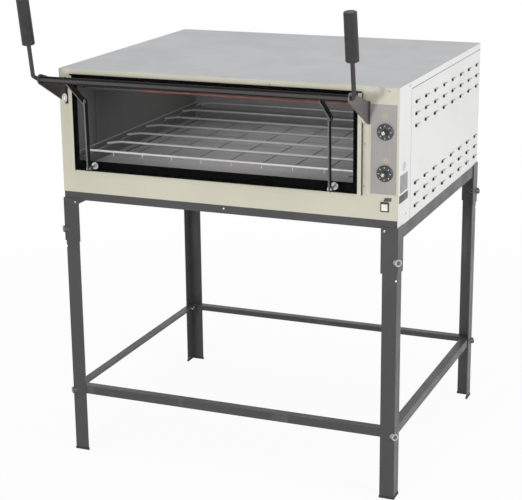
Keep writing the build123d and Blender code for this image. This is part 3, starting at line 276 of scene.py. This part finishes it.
plastics = {
    "gripPlastic": {"light": (50, 51, 50), "dark": (43, 44, 43), "rough": 0.42, "specular": 0.3},
    "dialPlastic": {"light": (58, 60, 60), "dark": (46, 48, 48), "rough": 0.34},
    # slotShadeGrey: painted shade for the louvre slots
    "slotShadeGrey": {"light": (62, 62, 62), "dark": (48, 48, 48), "rough": 0.60, "specular": 0.2},
    "frameBlack": {"light": (34, 34, 34), "dark": (26, 26, 26), "rough": 0.36},
    "keyWhite": {"light": (236, 236, 230), "dark": (228, 228, 222), "rough": 0.30},
    "footRubber": {"light": (46, 46, 47), "dark": (36, 36, 37), "rough": 0.62},
    "markWhite": {"light": (222, 222, 220), "dark": (206, 206, 204), "rough": 0.50},
    "plateGrey": {"light": (150, 151, 152), "dark": (138, 139, 141), "rough": 0.42},
    "platePale": {"light": (200, 201, 202), "dark": (186, 187, 188), "rough": 0.42},
    "plateDark": {"light": (74, 75, 77), "dark": (60, 61, 63), "rough": 0.42},
}
finishes = {name: powderPaint(name, look) for name, look in paints.items()}
finishes.update({name: drawnSteel(name, look) for name, look in steels.items()})
finishes.update({name: mouldedPlastic(name, look) for name, look in plastics.items()})


# White cover paint; painted shade greys whatever faces up, such as the tops of the louvres, as less light
# falls from above
def coverPaint(name, look):
    cover = powderPaint(name, look)
    cover.repaint(cover.between(cover.facing("Z"), *look["upShadeFrom"]), shade(*look["upShade"]))
    return cover


# The guides are painted as the front is, but the channel's inner side on the right is darkened with painted
# shade, as deep in a groove
def guidePaint(name, look):
    paint = powderPaint(name, paints["frontPaint"])
    grooveShade = (paint.axis("X") > look["grooveShadeFrom"]) * (paint.axis("Y") < look["grooveShadeFront"])
    paint.repaint(grooveShade, shade(*look["grooveShade"]))
    return paint


# Grey paint on the top of the lid, partly painted shade for the lesser light from above; its turned-down
# edges are white as the side covers are
def lidPaint(name, look):
    lid = powderPaint(name, look)
    lid.repaint(lid.axis("Z") < look["edgeTop"], shade(*look["edge"]))
    return lid


# Bracket plates: on the control side painted light makes the plate a lighter grey, and its flange a little
# less so, for the light that falls on that side
def bracketPaint(name, look):
    plate = powderPaint(name, look)
    right = plate.axis("X") > 0
    # painted light on the control-side bracket
    plate.repaint(right, shade(*look["flange"]))
    plate.repaint(right * (plate.axis("Y") < look["flangeFront"]), shade(*look["litPlate"]))
    return plate


# The cross tube: lighter along its front, darkened with painted shade above and below, as light falls on a
# round tube
def tubePaint(name, look):
    tube = powderPaint(name, look)
    tubeShade = tube.between(tube.maths("ABSOLUTE", tube.facing("Z")), *look["tubeShadeFrom"])
    tube.repaint(tubeShade, shade(*look["tubeShade"]))
    return tube


# Flat bars of the lifting gear: black paint, with a patchy painted highlight that turns the faces towards the
# front grey
def linkPaint(name, look):
    bar = powderPaint(name, look)
    patchy = bar.spots(*look["patches"]).lifted(look["patchiness"])
    bar.repaint((bar.facing("Y") < look["frontFacing"]) * patchy, shade(*look["frontSheen"]))
    return bar


# Chamber sheet: dull stainless, shifted to a lighter grey towards the back by painted light, much lighter on
# the side walls
def chamberSteel(name, look):
    steel = Finish(name, metallic=0.1, specular=0.4)
    rolled, cloud = steel.spots(*look["rolled"]), steel.spots(*look["clouds"])
    base = steel.tint(rolled.mixed(cloud, 0.5), look)
    # painted light: lighter towards the back
    backLight = steel.between(steel.axis("Y"), *look["backLightFrom"])
    base = steel.blend(backLight, base, shade(*look["backLight"]))
    if "rubbedAndLitAbove" in look:  # top edges lighter: rubbed bright by the rack on the runners; painted light on the hearth plate
        base = steel.blend(steel.axis("Z") > look["rubbedAndLitAbove"], base, shade(*look["rubbedAndLit"]))
    steel.feed("Base Color", base)
    steel.roughen(cloud, look)
    steel.feed("Normal", steel.bump(rolled, *look["rolledBump"]))
    return steel


# Bright plated wire, dull where it rests on the runners and darker towards the back
def rackWire(name, look):
    wire = Finish(name, metallic=0.2)
    drawn = wire.spots(*look["drawn"])
    base = wire.tint(drawn, look)
    sides = (wire.axis("Z") < look["sideTop"]) * (wire.axis("Y") > look["frontBarBack"])
    base = wire.blend(wire.between(wire.axis("Y"), *look["darkerBack"]), base, shade(*look["darkerBackColour"]))
    wire.feed("Base Color", wire.blend(sides * look["dullness"], base, shade(*look["dull"])))
    wire.roughen(drawn, look)
    wire.feed("Normal", wire.bump(drawn, *look["drawnBump"]))
    return wire


# Fired slabs, each a slightly different grey; the plain slab in front is paler
def tileStone(name, look):
    stone = Finish(name, specular=0.3)
    pitch, jointX, jointY = look["grid"]
    columns = stone.maths("FLOOR", (stone.axis("X") - jointX) * (1 / pitch))
    rows = stone.maths("FLOOR", (stone.axis("Y") - jointY) * (1 / pitch))
    cell = stone.node("ShaderNodeCombineXYZ", {}, {"X": columns, "Y": rows})
    soot = None
    for letter, start in (("X", jointX), ("Y", jointY)):  # 1 at a joint, 0 in the middle of a tile
        part = stone.maths("FRACT", (stone.axis(letter) - start) * (1 / pitch))
        away = stone.maths("ABSOLUTE", part - 0.5)
        line = stone.between(away, 0.5 - look["sootReach"] / pitch, 0.5, 0.0, 1.0)
        soot = line if soot is None else stone.maths("MAXIMUM", soot, line)
    tone = stone.node("ShaderNodeTexWhiteNoise", {"noise_dimensions": "3D"}, {"Vector": cell}, "Value")
    grit, cloud = stone.spots(*look["grits"]), stone.spots(*look["clouds"])
    base = stone.tint(tone.mixed(cloud, look["toneShare"]), look)
    base = stone.blend(grit * look["gritShare"], base, shade(*look["grit"]))
    base = stone.blend(soot * look["sootiness"], base, shade(*look["soot"]))
    paler = (stone.axis("Y") < jointY) * look["frontShare"]
    stone.feed("Base Color", stone.blend(paler, base, shade(*look["front"])))
    stone.roughen(grit, look)
    stone.feed("Normal", stone.bump(grit, *look["gritBump"]))
    return stone


# Brushed grey film with a soft plain tint above each dial
def labelFilm(name, look):
    film = Finish(name, coat=0.25)
    brushed, cloud = film.spots(*look["brushed"]), film.spots(*look["clouds"])
    base = film.tint(brushed.mixed(cloud, 0.5), look)
    for x, z, radius, colour in look["tints"]:
        spot = film.between(film.ring(x, z), 0.0, radius, look["tintShare"], 0.0)
        patchy = film.spots(*look["patches"]).lifted(look["patchiness"])
        base = film.blend(spot * patchy, base, shade(*colour))
    film.feed("Base Color", base)
    film.roughen(brushed, look)
    film.feed("Normal", film.bump(brushed, *look["brushedBump"]))
    return film


def turnedCap(name, look):  # spindle end: bright centre, dark groove, bright rim
    cap = Finish(name, metallic=0.9)
    radius = cap.ring(*look["axis"])
    turned = cap.spots(*look["turned"])
    cap.feed("Base Color", cap.tint(turned, look))
    inner, outer = look["groove"]
    cap.repaint((radius > inner) * (radius < outer) * look["depth"], shade(*look["shadow"]))
    cap.roughen(turned, look)
    cap.feed("Normal", cap.bump(radius, *look["domeBump"]))
    return cap


# Bolt heads set across the legs' corners: at the right front a bright rim round a dull middle, painted shade
# in the head's hollow; painted over on the left, and darkened with painted shade at the rear
def cornerBolt(name, look):
    bolt = Finish(name, metallic=0.5)
    mottled = bolt.spots(*look["mottled"])
    bolt.feed("Base Color", bolt.tint(mottled, look))
    aside = (bolt.axis("X") + bolt.axis("Y") - look["cornerSum"]) * math.sqrt(0.5)
    # painted shade in the middle of each head
    for z in look["heights"]:
        up = bolt.axis("Z") - z
        radius = bolt.maths("SQRT", aside * aside + up * up)
        bolt.repaint(bolt.between(radius, *look["middle"], 1.0, 0.0), shade(*look["dull"]))
    # painted over on the left; painted shade on the rear heads
    overpaintAndShade = bolt.maths("MAXIMUM", bolt.axis("X") < 0, bolt.axis("Y") > 0)
    bolt.repaint(overpaintAndShade, shade(*look["overpaintAndShade"]))
    bolt.roughen(mottled, look)
    bolt.feed("Normal", bolt.bump(mottled, *look["mottledBump"]))
    return bolt


def firedEnamel(name, look):
    enamel = Finish(name, specular=0.03)
    cloud = enamel.spots(*look["clouds"])
    enamel.feed("Base Color", enamel.tint(cloud, look))
    enamel.roughen(cloud, look)
    return enamel


def mineralWool(name, look):
    wool = Finish(name, specular=0.1)
    strands = wool.spots(*look["strands"]).mixed(wool.spots(*look["clouds"]), look["strandShare"])
    wool.feed("Base Color", wool.tint(strands, look))
    wool.feed("Roughness", look["rough"])
    wool.feed("Normal", wool.bump(strands, *look["strandBump"]))
    return wool


# A dull tube, reddened by the heat, given a faint painted glow though it is no lamp; its cold end stays grey
def heatTube(name, look):
    tube = Finish(name, specular=0.3)
    along = tube.spots(*look["clouds"])
    cold = tube.between(tube.axis("X"), *look["coldEnd"], 1.0, 0.0)
    tube.feed("Base Color", tube.blend(cold, tube.tint(along, look), shade(*look["cold"])))
    tube.roughen(along, look)
    paintedGlow = tube.blend(along, *(shade(*colour) for colour in look["paintedGlowTints"]))
    # painted light: a faint glow on the tube
    tube.feed("Emission Color", tube.blend(cold, paintedGlow, shade(0, 0, 0)))
    tube.feed("Emission Strength", look["glow"])
    return tube


def doorPane(name, look):  # clear toughened glass that lets the lamps through
    pane = Finish(name)
    haze = pane.spots(*look["haze"])
    pane.feed("Base Color", pane.tint(haze, look))
    pane.roughen(haze, look)
    pane.feed("Alpha", haze * look["alphaSpread"] + look["alpha"])
    return pane


finishes["coverPaint"] = coverPaint("coverPaint", {
    "light": (234, 234, 233), "dark": (229, 229, 228), "fleck": (221, 221, 221), "rough": 0.48,
    # upShade: painted shade on surfaces that face up
    "specular": 0.3, "upShade": (150, 150, 148), "upShadeFrom": (0.1, 0.7, 0.0, 1.0),
})
finishes["guidePaint"] = guidePaint("guidePaint", {
    # painted shade on the right channel's inner side
    "grooveShadeFrom": 0.4813, "grooveShadeFront": -0.3915, "grooveShade": (64, 64, 62),
})
finishes["lidPaint"] = lidPaint("lidPaint", {
    # the top's grey is partly painted shade; the edges keep the white of the covers
    "light": (194, 195, 197), "dark": (188, 189, 191), "fleck": (180, 181, 184), "rough": 0.46,
    "specular": 0.3, "edgeTop": 1.3862, "edge": (232, 232, 231),
})
finishes["gearPaint"] = powderPaint("gearPaint", {
    "light": (62, 60, 61), "dark": (54, 52, 53), "fleck": (72, 70, 71), "rough": 0.36, "specular": 0.25,
})
finishes["tubePaint"] = tubePaint("tubePaint", {
    "light": (78, 76, 76), "dark": (70, 68, 68), "fleck": (88, 86, 86), "rough": 0.50, "specular": 0.08,
    # tubeShade: painted shade on the tube's upper and lower sides
    "tubeShadeFrom": (0.20, 0.75, 0.0, 1.0), "tubeShade": (14, 13, 13),
})
finishes["bracketPaint"] = bracketPaint("bracketPaint", {
    "light": (64, 62, 62), "dark": (56, 54, 54), "fleck": (74, 72, 72), "rough": 0.36, "specular": 0.25,
    # litPlate and flange: painted light on the control-side bracket
    "litPlate": (104, 100, 99), "flange": (86, 84, 83), "flangeFront": -0.3990,
})
finishes["linkPaint"] = linkPaint("linkPaint", {
    "light": (32, 31, 31), "dark": (24, 23, 23), "fleck": (42, 41, 41), "rough": 0.42, "specular": 0.08,
    # frontSheen: painted highlight on faces turned to the front
    "frontSheen": (118, 117, 114), "frontFacing": -0.6, "patches": (40, 3, (1, 1, 0.2)), "patchiness": 0.35,
})
chamberLook = {
    "light": (118, 118, 119), "dark": (98, 98, 100), "backLight": (114, 112, 110),
    "backLightFrom": (-0.1, 0.6, 0.0, 0.5), "rolled": (14, 3, (1, 1, 0.1)), "clouds": (5, 5), "rough": 0.50,
    "glossSpread": 0.12, "rolledBump": (0.1, 0.0004),
}
# the side walls: much more painted light towards the back
wallLook = {**chamberLook, "backLight": (128, 128, 126), "backLightFrom": (-0.32, 0.35, 0.0, 1.0)}
runnerLook = {**wallLook, "rubbedAndLitAbove": 1.1018, "rubbedAndLit": (214, 214, 214)}
hearthLook = {
    **chamberLook, "light": (124, 122, 120), "dark": (106, 105, 103), "backLight": (118, 116, 113),
    # painted light: the hearth plate's strip is lighter above this height
    "rubbedAndLitAbove": 1.0425, "rubbedAndLit": (192, 191, 189),
}
steelLooks = {
    "chamberSteel": chamberLook, "wallSteel": wallLook, "runnerSteel": runnerLook, "hearthSteel": hearthLook,
}
for finishName, look in steelLooks.items():
    finishes[finishName] = chamberSteel(finishName, look)
finishes["rackWire"] = rackWire("rackWire", {
    "light": (246, 246, 247), "dark": (224, 225, 228), "dull": (128, 127, 125),
    "sideTop": 1.0955, "frontBarBack": -0.345, "dullness": 0.85,
    "darkerBack": (-0.33, 0.25, 0.05, 0.72), "darkerBackColour": (120, 120, 122),
    "drawn": (90, 3, (0.04, 1, 1)), "drawnBump": (0.1, 0.0002), "rough": 0.24, "glossSpread": 0.08,
})
finishes["hearthStone"] = tileStone("hearthStone", {
    "light": (196, 196, 196), "dark": (176, 176, 176), "grit": (156, 155, 154), "front": (214, 211, 210),
    "grid": (0.121, 0.022, -0.0938), "soot": (62, 60, 58), "sootReach": 0.0065, "sootiness": 0.5,
    "grits": (160, 6), "gritShare": 0.4, "gritBump": (0.35, 0.0008), "clouds": (10, 5), "toneShare": 0.6,
    "frontShare": 0.8, "rough": 0.81, "glossSpread": 0.18,
})
finishes["labelFilm"] = labelFilm("labelFilm", {
    "light": (160, 157, 155), "dark": (149, 146, 144), "rough": 0.36, "glossSpread": 0.12,
    "brushed": (500, 2, (1, 1, 0.02)), "brushedBump": (0.05, 0.0002), "clouds": (8, 3),
    "tints": [(0.554, 1.294, 0.016, (176, 175, 122)), (0.558, 1.156, 0.015, (204, 160, 134))],
    "tintShare": 0.9, "patches": (260, 3), "patchiness": 0.5,
})
dialAxes = {"upper": (0.5555, 1.247), "lower": (0.5555, 1.114)}
capLook = {
    "light": (232, 233, 236), "dark": (206, 207, 211), "groove": (0.0026, 0.0041), "depth": 0.8,
    "shadow": (70, 70, 72), "turned": (300, 3), "domeBump": (0.2, 0.3), "rough": 0.27, "glossSpread": 0.1,
}
for dial, axis in dialAxes.items():
    finishes[dial + "Cap"] = turnedCap(dial + "Cap", {**capLook, "axis": axis})
legLow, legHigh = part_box("leg_front_right")
finishes["cornerBolt"] = cornerBolt("cornerBolt", {
    "cornerSum": legHigh[0] + legLow[1], "heights": (0.226, 0.826), "middle": (0.0062, 0.0090),
    "light": (208, 209, 211), "dark": (180, 181, 184), "dull": (98, 98, 98), "overpaintAndShade": (84, 84, 84),
    "mottled": (80, 3), "mottledBump": (0.1, 0.0003), "rough": 0.31, "glossSpread": 0.1,
})
finishes["firedEnamel"] = firedEnamel("firedEnamel", {
    "light": (5, 5, 5), "dark": (2, 2, 2), "clouds": (40, 3), "rough": 0.375, "glossSpread": 0.15,
})
finishes["mineralWool"] = mineralWool("mineralWool", {
    "light": (196, 188, 160), "dark": (142, 130, 96), "strands": (70, 6, (0.3, 0.3, 3)), "strandShare": 0.6,
    "strandBump": (0.7, 0.002), "clouds": (12, 4), "rough": 0.95,
})
finishes["heatTube"] = heatTube("heatTube", {
    "light": (136, 92, 86), "dark": (116, 78, 74), "cold": (84, 82, 80), "coldEnd": (-0.37, -0.29),
    "clouds": (18, 3), "rough": 0.525, "glossSpread": 0.15,
    # glow: painted light on the tube
    "glow": 0.06, "paintedGlowTints": [(190, 96, 84), (160, 80, 70)],
})
finishes["doorPane"] = doorPane("doorPane", {
    "light": (20, 24, 22), "dark": (30, 34, 32), "haze": (5, 4), "rough": 0.05, "glossSpread": 0.04,
    "alpha": 0.045, "alphaSpread": 0.01,
})
print("stage: finishes made,", len(finishes))

nodeFinish = {
    "standPaint": [
        "leg_sleeves_front", "leg_sleeves_rear", "leg_front_left", "leg_front_right", "leg_rear_left",
        "leg_rear_right", "front_rail", "rear_rail", "side_rails", "lower_rails_across", "lower_rails_along",
    ],
    "footRubber": ["foot_caps"],
    "cornerBolt": ["leg_bolts"],
    "zincPlate": ["leg_nuts", "stand_screws", "fork_nuts"],
    "clampZinc": ["bracket_bolts"],
    "frontPaint": ["front_panel"],
    "rivetPaint": ["panel_rivets"],
    "guidePaint": ["guide_left", "guide_right"],
    "coverPaint": ["side_strip_left", "side_strip_right", "louvre_cover_left", "louvre_cover_right"],
    "lidPaint": ["top_cover"],
    "bareSteel": ["back_panel", "base_pan", "flue_duct", "door_forks", "burner_rests"],
    "chamberSteel": ["liner_back", "liner_top"],
    "wallSteel": ["liner_sides"],
    "runnerSteel": ["rack_runners"],
    "hearthSteel": ["hearth_plate"],
    "hearthStone": ["hearth_tiles"],
    "rackWire": ["rack"],
    "upperCap": ["spindle_upper"],
    "lowerCap": ["spindle_lower"],
    "heatTube": ["top_element"],
    "mineralWool": ["insulation"],
    "burnerSteel": ["burners"],
    "pipeSteel": ["gas_manifold"],
    "valveBrass": ["gas_valves"],
    "labelFilm": ["control_label"],
    "dialPlastic": ["knob_upper", "knob_lower"],
    "frameBlack": ["switch_bezel"],
    "keyWhite": ["switch_rocker"],
    "doorPane": ["door_glass"],
    "firedEnamel": ["glass_border"],
    "gearPaint": ["lever_rods"],
    "tubePaint": ["lever_tube"],
    "bracketPaint": ["tube_brackets"],
    "linkPaint": ["link_left", "link_right", "crank_arms"],
    "gripPlastic": ["grip_left", "grip_right"],
}
for finishName, names in nodeFinish.items():
    for name in names:
        for slot in nodes[name].material_slots:
            slot.material = finishes[finishName].material
undressed = set(nodes) - {name for names in nodeFinish.values() for name in names}
print("stage: nodes dressed, left out:", sorted(undressed))


mergeWithin = 0.000001
sharpAngle = 35


# Closes a mesh into a named piece that rides on a body
def newPiece(name, mesh, finishName, body="cabinet"):
    bmesh.ops.remove_doubles(mesh, verts=mesh.verts, dist=mergeWithin)
    bmesh.ops.recalc_face_normals(mesh, faces=mesh.faces)
    data = bpy.data.meshes.new(name)
    mesh.to_mesh(data)
    mesh.free()
    data.shade_smooth()
    data.set_sharp_from_angle(angle=math.radians(sharpAngle))
    data.materials.append(finishes[finishName].material)
    piece = bpy.data.objects.new(name, data)
    bpy.context.collection.objects.link(piece)
    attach(piece, body)
    return piece


def edgesOf(verts):  # every edge once, in the order that the vertices give
    return list(dict.fromkeys(edge for vert in verts for edge in vert.link_edges))


def slab(mesh, low, high, edge, turn=Matrix.Identity(4)):  # a flat block with softened edges
    middle = (Vector(low) + Vector(high)) / 2
    size = Vector(high) - Vector(low)
    shape = Matrix.Translation(middle) @ Matrix.Diagonal((*size, 1.0))
    made = bmesh.ops.create_cube(mesh, size=1.0, matrix=turn @ shape)
    bmesh.ops.bevel(
        mesh, geom=edgesOf(made["verts"]), offset=edge, offset_type="OFFSET", segments=2, profile=0.5,
        affect="EDGES", material=-1,
    )


# Pale marks on the skirts of the two dials
dialMarks = {
    "count": 8, "inner": 0.0170, "outer": 0.0225, "width": 0.0016, "height": 0.00025, "face": -0.3983,
    "edge": 0.0001,
}
for dial, (x, z) in dialAxes.items():
    marks = bmesh.new()
    for index in range(dialMarks["count"]):
        turn = Matrix.Translation((x, 0, z)) @ Matrix.Rotation(math.tau * index / dialMarks["count"], 4, "Y")
        half = dialMarks["width"] / 2
        low = (-half, dialMarks["face"] - dialMarks["height"], dialMarks["inner"])
        high = (half, dialMarks["face"] + dialMarks["height"], dialMarks["outer"])
        slab(marks, low, high, dialMarks["edge"], turn)
    newPiece(dial + "DialMarks", marks, "markWhite", dial + "_dial")
print("stage: dial marks")

# Blank plates on the side strip and the small tilted tag above the switch
stripPlates = {
    "greyPlate": ("plateGrey", (0.5999, -0.372, 1.047), (0.6006, -0.291, 1.104)),
    "darkPlate": ("plateDark", (0.5999, -0.380, 1.015), (0.6006, -0.286, 1.040)),
}
plateEdge = 0.0003
for name, (finishName, low, high) in stripPlates.items():
    plate = bmesh.new()
    slab(plate, low, high, plateEdge)
    newPiece(name, plate, finishName)

sideways = Matrix.Rotation(math.pi / 2, 4, "Y")
ovalMark = {"middle": (0.6002, -0.3300, 1.1280), "wide": 0.030, "high": 0.032, "thick": 0.0007, "sides": 40}
oval = bmesh.new()
stretch = Matrix.Diagonal((1, ovalMark["wide"] / 2, ovalMark["high"] / 2, 1)) @ sideways
bmesh.ops.create_cone(
    oval, cap_ends=True, segments=ovalMark["sides"], radius1=1, radius2=1, depth=ovalMark["thick"],
    matrix=Matrix.Translation(ovalMark["middle"]) @ stretch,
)
newPiece("ovalPlate", oval, "platePale")

switchTag = {
    "corners": [(0.556, 1.035), (0.579, 1.036), (0.577, 1.024), (0.551, 1.022)],
    "face": -0.3900, "seat": 0.0001, "thick": 0.0005,
}
tag = bmesh.new()
tagBack = switchTag["face"] + switchTag["seat"]
outline = [tag.verts.new((x, tagBack, z)) for x, z in switchTag["corners"]]
front = bmesh.ops.extrude_face_region(tag, geom=[tag.faces.new(outline)])
frontVerts = [part for part in front["geom"] if isinstance(part, bmesh.types.BMVert)]
bmesh.ops.translate(tag, verts=frontVerts, vec=(0, -switchTag["thick"], 0))
newPiece("switchTag", tag, "plateDark")
print("stage: plates")

# Painted shade: dark plates in front of the louvres' mouths stand for the shade in the pierced slots, and
# dark strips along the side covers' edges for the shade in the seams
louvreSlotShade = {
    "first": -0.209, "pitch": 0.110, "columns": 8, "rows": (1.314, 1.275, 1.236, 1.047, 1.009, 0.970),
    "reach": 0.0090, "half": 0.0056, "face": 0.6000, "thick": 0.0002, "sides": 14,
}
# dark strips of painted shade in the seams along the side covers' edges
coverSeamShade = {
    "edgeY": -0.2600, "edgeZ": 1.3650, "back": 0.6190, "bottom": 0.9380, "width": 0.0016, "thick": 0.0003,
    "lidWidth": 0.0022, "edge": 0.0001,
}
oblong = Matrix.Diagonal((1, louvreSlotShade["reach"], louvreSlotShade["half"], 1)) @ sideways
for side, outward in (("Left", -1), ("Right", 1)):
    slots = bmesh.new()
    face = outward * louvreSlotShade["face"]
    for z in louvreSlotShade["rows"]:
        for column in range(louvreSlotShade["columns"]):
            y = louvreSlotShade["first"] + column * louvreSlotShade["pitch"]
            bmesh.ops.create_cone(
                slots, cap_ends=True, segments=louvreSlotShade["sides"], radius1=1, radius2=1,
                depth=2 * louvreSlotShade["thick"], matrix=Matrix.Translation((face, y, z)) @ oblong,
            )
    newPiece("louvreSlotShade" + side, slots, "slotShadeGrey")
    seamShade = bmesh.new()
    x0, x1 = sorted((face, face + outward * coverSeamShade["thick"]))
    low = (x0, coverSeamShade["edgeY"], coverSeamShade["bottom"])
    high = (x1, coverSeamShade["edgeY"] + coverSeamShade["width"], coverSeamShade["edgeZ"])
    slab(seamShade, low, high, coverSeamShade["edge"])
    newPiece("stripSeamShade" + side, seamShade, "plateGrey")
    seamShade = bmesh.new()
    low = (x0, coverSeamShade["edgeY"], coverSeamShade["edgeZ"] - coverSeamShade["lidWidth"])
    slab(seamShade, low, (x1, coverSeamShade["back"], coverSeamShade["edgeZ"]), coverSeamShade["edge"])
    newPiece("lidSeamShade" + side, seamShade, "plateDark")
print("stage: louvre slots and seals")

# Folded jamb plates that line the chamber's walls just behind the door; a black strip at each plate's back
# edge is painted shade in the fold
jamb = {
    "wallLeft": -0.5435, "wallRight": 0.4665, "thick": 0.001, "front": -0.3865, "back": -0.2500,
    "bottom": 1.1050, "top": 1.3330, "fold": 0.0040, "edge": 0.0003,
}
for side, wall, inward in (("Left", jamb["wallLeft"], 1), ("Right", jamb["wallRight"], -1)):
    plate = bmesh.new()
    faces = sorted((wall, wall + inward * jamb["thick"]))
    low, high = (faces[0], jamb["front"], jamb["bottom"]), (faces[1], jamb["back"], jamb["top"])
    slab(plate, low, high, jamb["edge"])
    newPiece("jambPlate" + side, plate, "chamberSteel")
    # painted shade along the fold
    fold = bmesh.new()
    low = (faces[0], jamb["back"], jamb["bottom"])
    slab(fold, low, (faces[1], jamb["back"] + jamb["fold"], jamb["top"]), jamb["edge"])
    newPiece("jambFoldShade" + side, fold, "frameBlack")
print("stage: jamb plates")

# Weld beads where the crank arms meet the cross tube
weld = {"bead": 0.0016, "sides": 10, "steps": 40}
tubeLow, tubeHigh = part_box("lever_tube")
tubeAxis = [(low + high) / 2 for low, high in zip(tubeLow, tubeHigh)]
tubeRadius = (tubeHigh[2] - tubeLow[2]) / 2
armLow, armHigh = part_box("crank_arms")
beads = bmesh.new()
for x in (armLow[0], armHigh[0]):
    top = Matrix.Translation((x, tubeAxis[1], tubeAxis[2] + tubeRadius))
    profile = bmesh.ops.create_circle(
        beads, cap_ends=False, segments=weld["sides"], radius=weld["bead"],
        matrix=top @ Matrix.Rotation(math.pi / 2, 4, "X"),
    )
    ringVerts = profile["verts"]
    bmesh.ops.spin(
        beads, geom=ringVerts + edgesOf(ringVerts), cent=(x, tubeAxis[1], tubeAxis[2]), axis=(1, 0, 0),
        angle=math.tau, steps=weld["steps"], use_merge=True,
    )
newPiece("armWelds", beads, "tubePaint", "levers")
print("stage: welds")

# Back panel: pan screws along its upper and lower edges
backScrews = {
    "xs": (-0.585, -0.2, 0.2, 0.585), "zs": (0.952, 1.372), "face": 0.6200, "radius": 0.0045,
    "crown": 0.0032, "height": 0.0022, "seat": 0.0004, "sides": 24,
}
backward = Matrix.Rotation(-math.pi / 2, 4, "X")
screws = bmesh.new()
for x in backScrews["xs"]:
    for z in backScrews["zs"]:
        y = backScrews["face"] + backScrews["height"] / 2 - backScrews["seat"]
        bmesh.ops.create_cone(
            screws, cap_ends=True, segments=backScrews["sides"], radius1=backScrews["radius"],
            radius2=backScrews["crown"], depth=backScrews["height"],
            matrix=Matrix.Translation((x, y, z)) @ backward,
        )
newPiece("backScrews", screws, "zincPlate")
print("stage: back")

# Studio: pale floor, soft lamps and the photograph's camera
studio = {
    "floorSize": 60.0, "paper": (250, 250, 250), "paperRough": 0.95,
    "glowNear": 0.93, "glowFrom": 1.5, "glowTo": 4.0, "worldFill": 0.55,
    "lamps": {  # place, aimed at, size, watts
        "keyLamp": ((-0.35, -6.2, 2.15), (0.1, -0.4, 1.1), 0.6, 120),
        "sideLamp": ((5.2, -1.4, 2.2), (0.3, 0.1, 1.0), 2.6, 88),
        "topLamp": ((0.2, -0.6, 5.2), (0, 0.1, 1.0), 2.6, 25),
        "chamberLamp": ((-0.04, 0.14, 1.328), (-0.04, 0.14, 1.0), 0.8, 1.0),
    },
}
floorMesh = bmesh.new()
bmesh.ops.create_grid(floorMesh, x_segments=1, y_segments=1, size=studio["floorSize"] / 2)
floorData = bpy.data.meshes.new("studioFloor")
floorMesh.to_mesh(floorData)
floorMesh.free()
studioFloor = bpy.data.objects.new("studioFloor", floorData)
bpy.context.collection.objects.link(studioFloor)

paper = Finish("studioPaper", specular=0.0)
paper.feed("Base Color", shade(*studio["paper"]))
paper.feed("Roughness", studio["paperRough"])
away = paper.maths("SQRT", paper.axis("X") * paper.axis("X") + paper.axis("Y") * paper.axis("Y"))
glowShare = paper.between(away, studio["glowFrom"], studio["glowTo"], studio["glowNear"], 1.0)
glow = paper.node("ShaderNodeEmission", {}, {"Color": (1, 1, 1, 1), "Strength": 1.0})
mixed = paper.node("ShaderNodeMixShader", {}, {0: paper.seenDirectly() * glowShare, 1: paper.shader, 2: glow})
paper.tree.links.new(mixed.socket, paper.surface.inputs["Surface"])
floorData.materials.append(paper.material)

world = bpy.data.worlds.new("studioWorld")
bpy.context.scene.world = world
sky = NodeTree(world)
fill = studio["worldFill"]
background = sky.node("ShaderNodeBackground", {}, {
    "Color": (1, 1, 1, 1), "Strength": sky.seenDirectly() * (1 - fill) + fill,
})
sky.node("ShaderNodeOutputWorld", {}, {"Surface": background})

for lampName, (place, aim, size, watts) in studio["lamps"].items():
    lamp = bpy.data.lights.new(lampName, "AREA")
    lamp.shape = "DISK"
    lamp.size = size
    lamp.energy = watts
    holder = bpy.data.objects.new(lampName, lamp)
    holder.visible_camera = False
    holder.location = place
    holder.rotation_euler = (Vector(aim) - Vector(place)).to_track_quat("-Z", "Y").to_euler()
    bpy.context.collection.objects.link(holder)

photoView = {
    "lens": 103.058, "sensorWidth": 36.0, "clipEnd": 200,
    "place": (1.92885, -4.77300, 2.19501), "turns": (73.8295, 0.5775, 22.1287),
}
camera = bpy.data.cameras.new("photoCamera")
camera.lens = photoView["lens"]
camera.sensor_width = photoView["sensorWidth"]
camera.sensor_fit = "HORIZONTAL"
camera.clip_end = photoView["clipEnd"]
cameraHolder = bpy.data.objects.new("photoCamera", camera)
cameraHolder.location = photoView["place"]
cameraHolder.rotation_euler = Euler([math.radians(turn) for turn in photoView["turns"]], "XYZ")
bpy.context.collection.objects.link(cameraHolder)
bpy.context.scene.camera = cameraHolder
bpy.context.scene.view_settings.view_transform = "Standard"
print("stage: studio set")
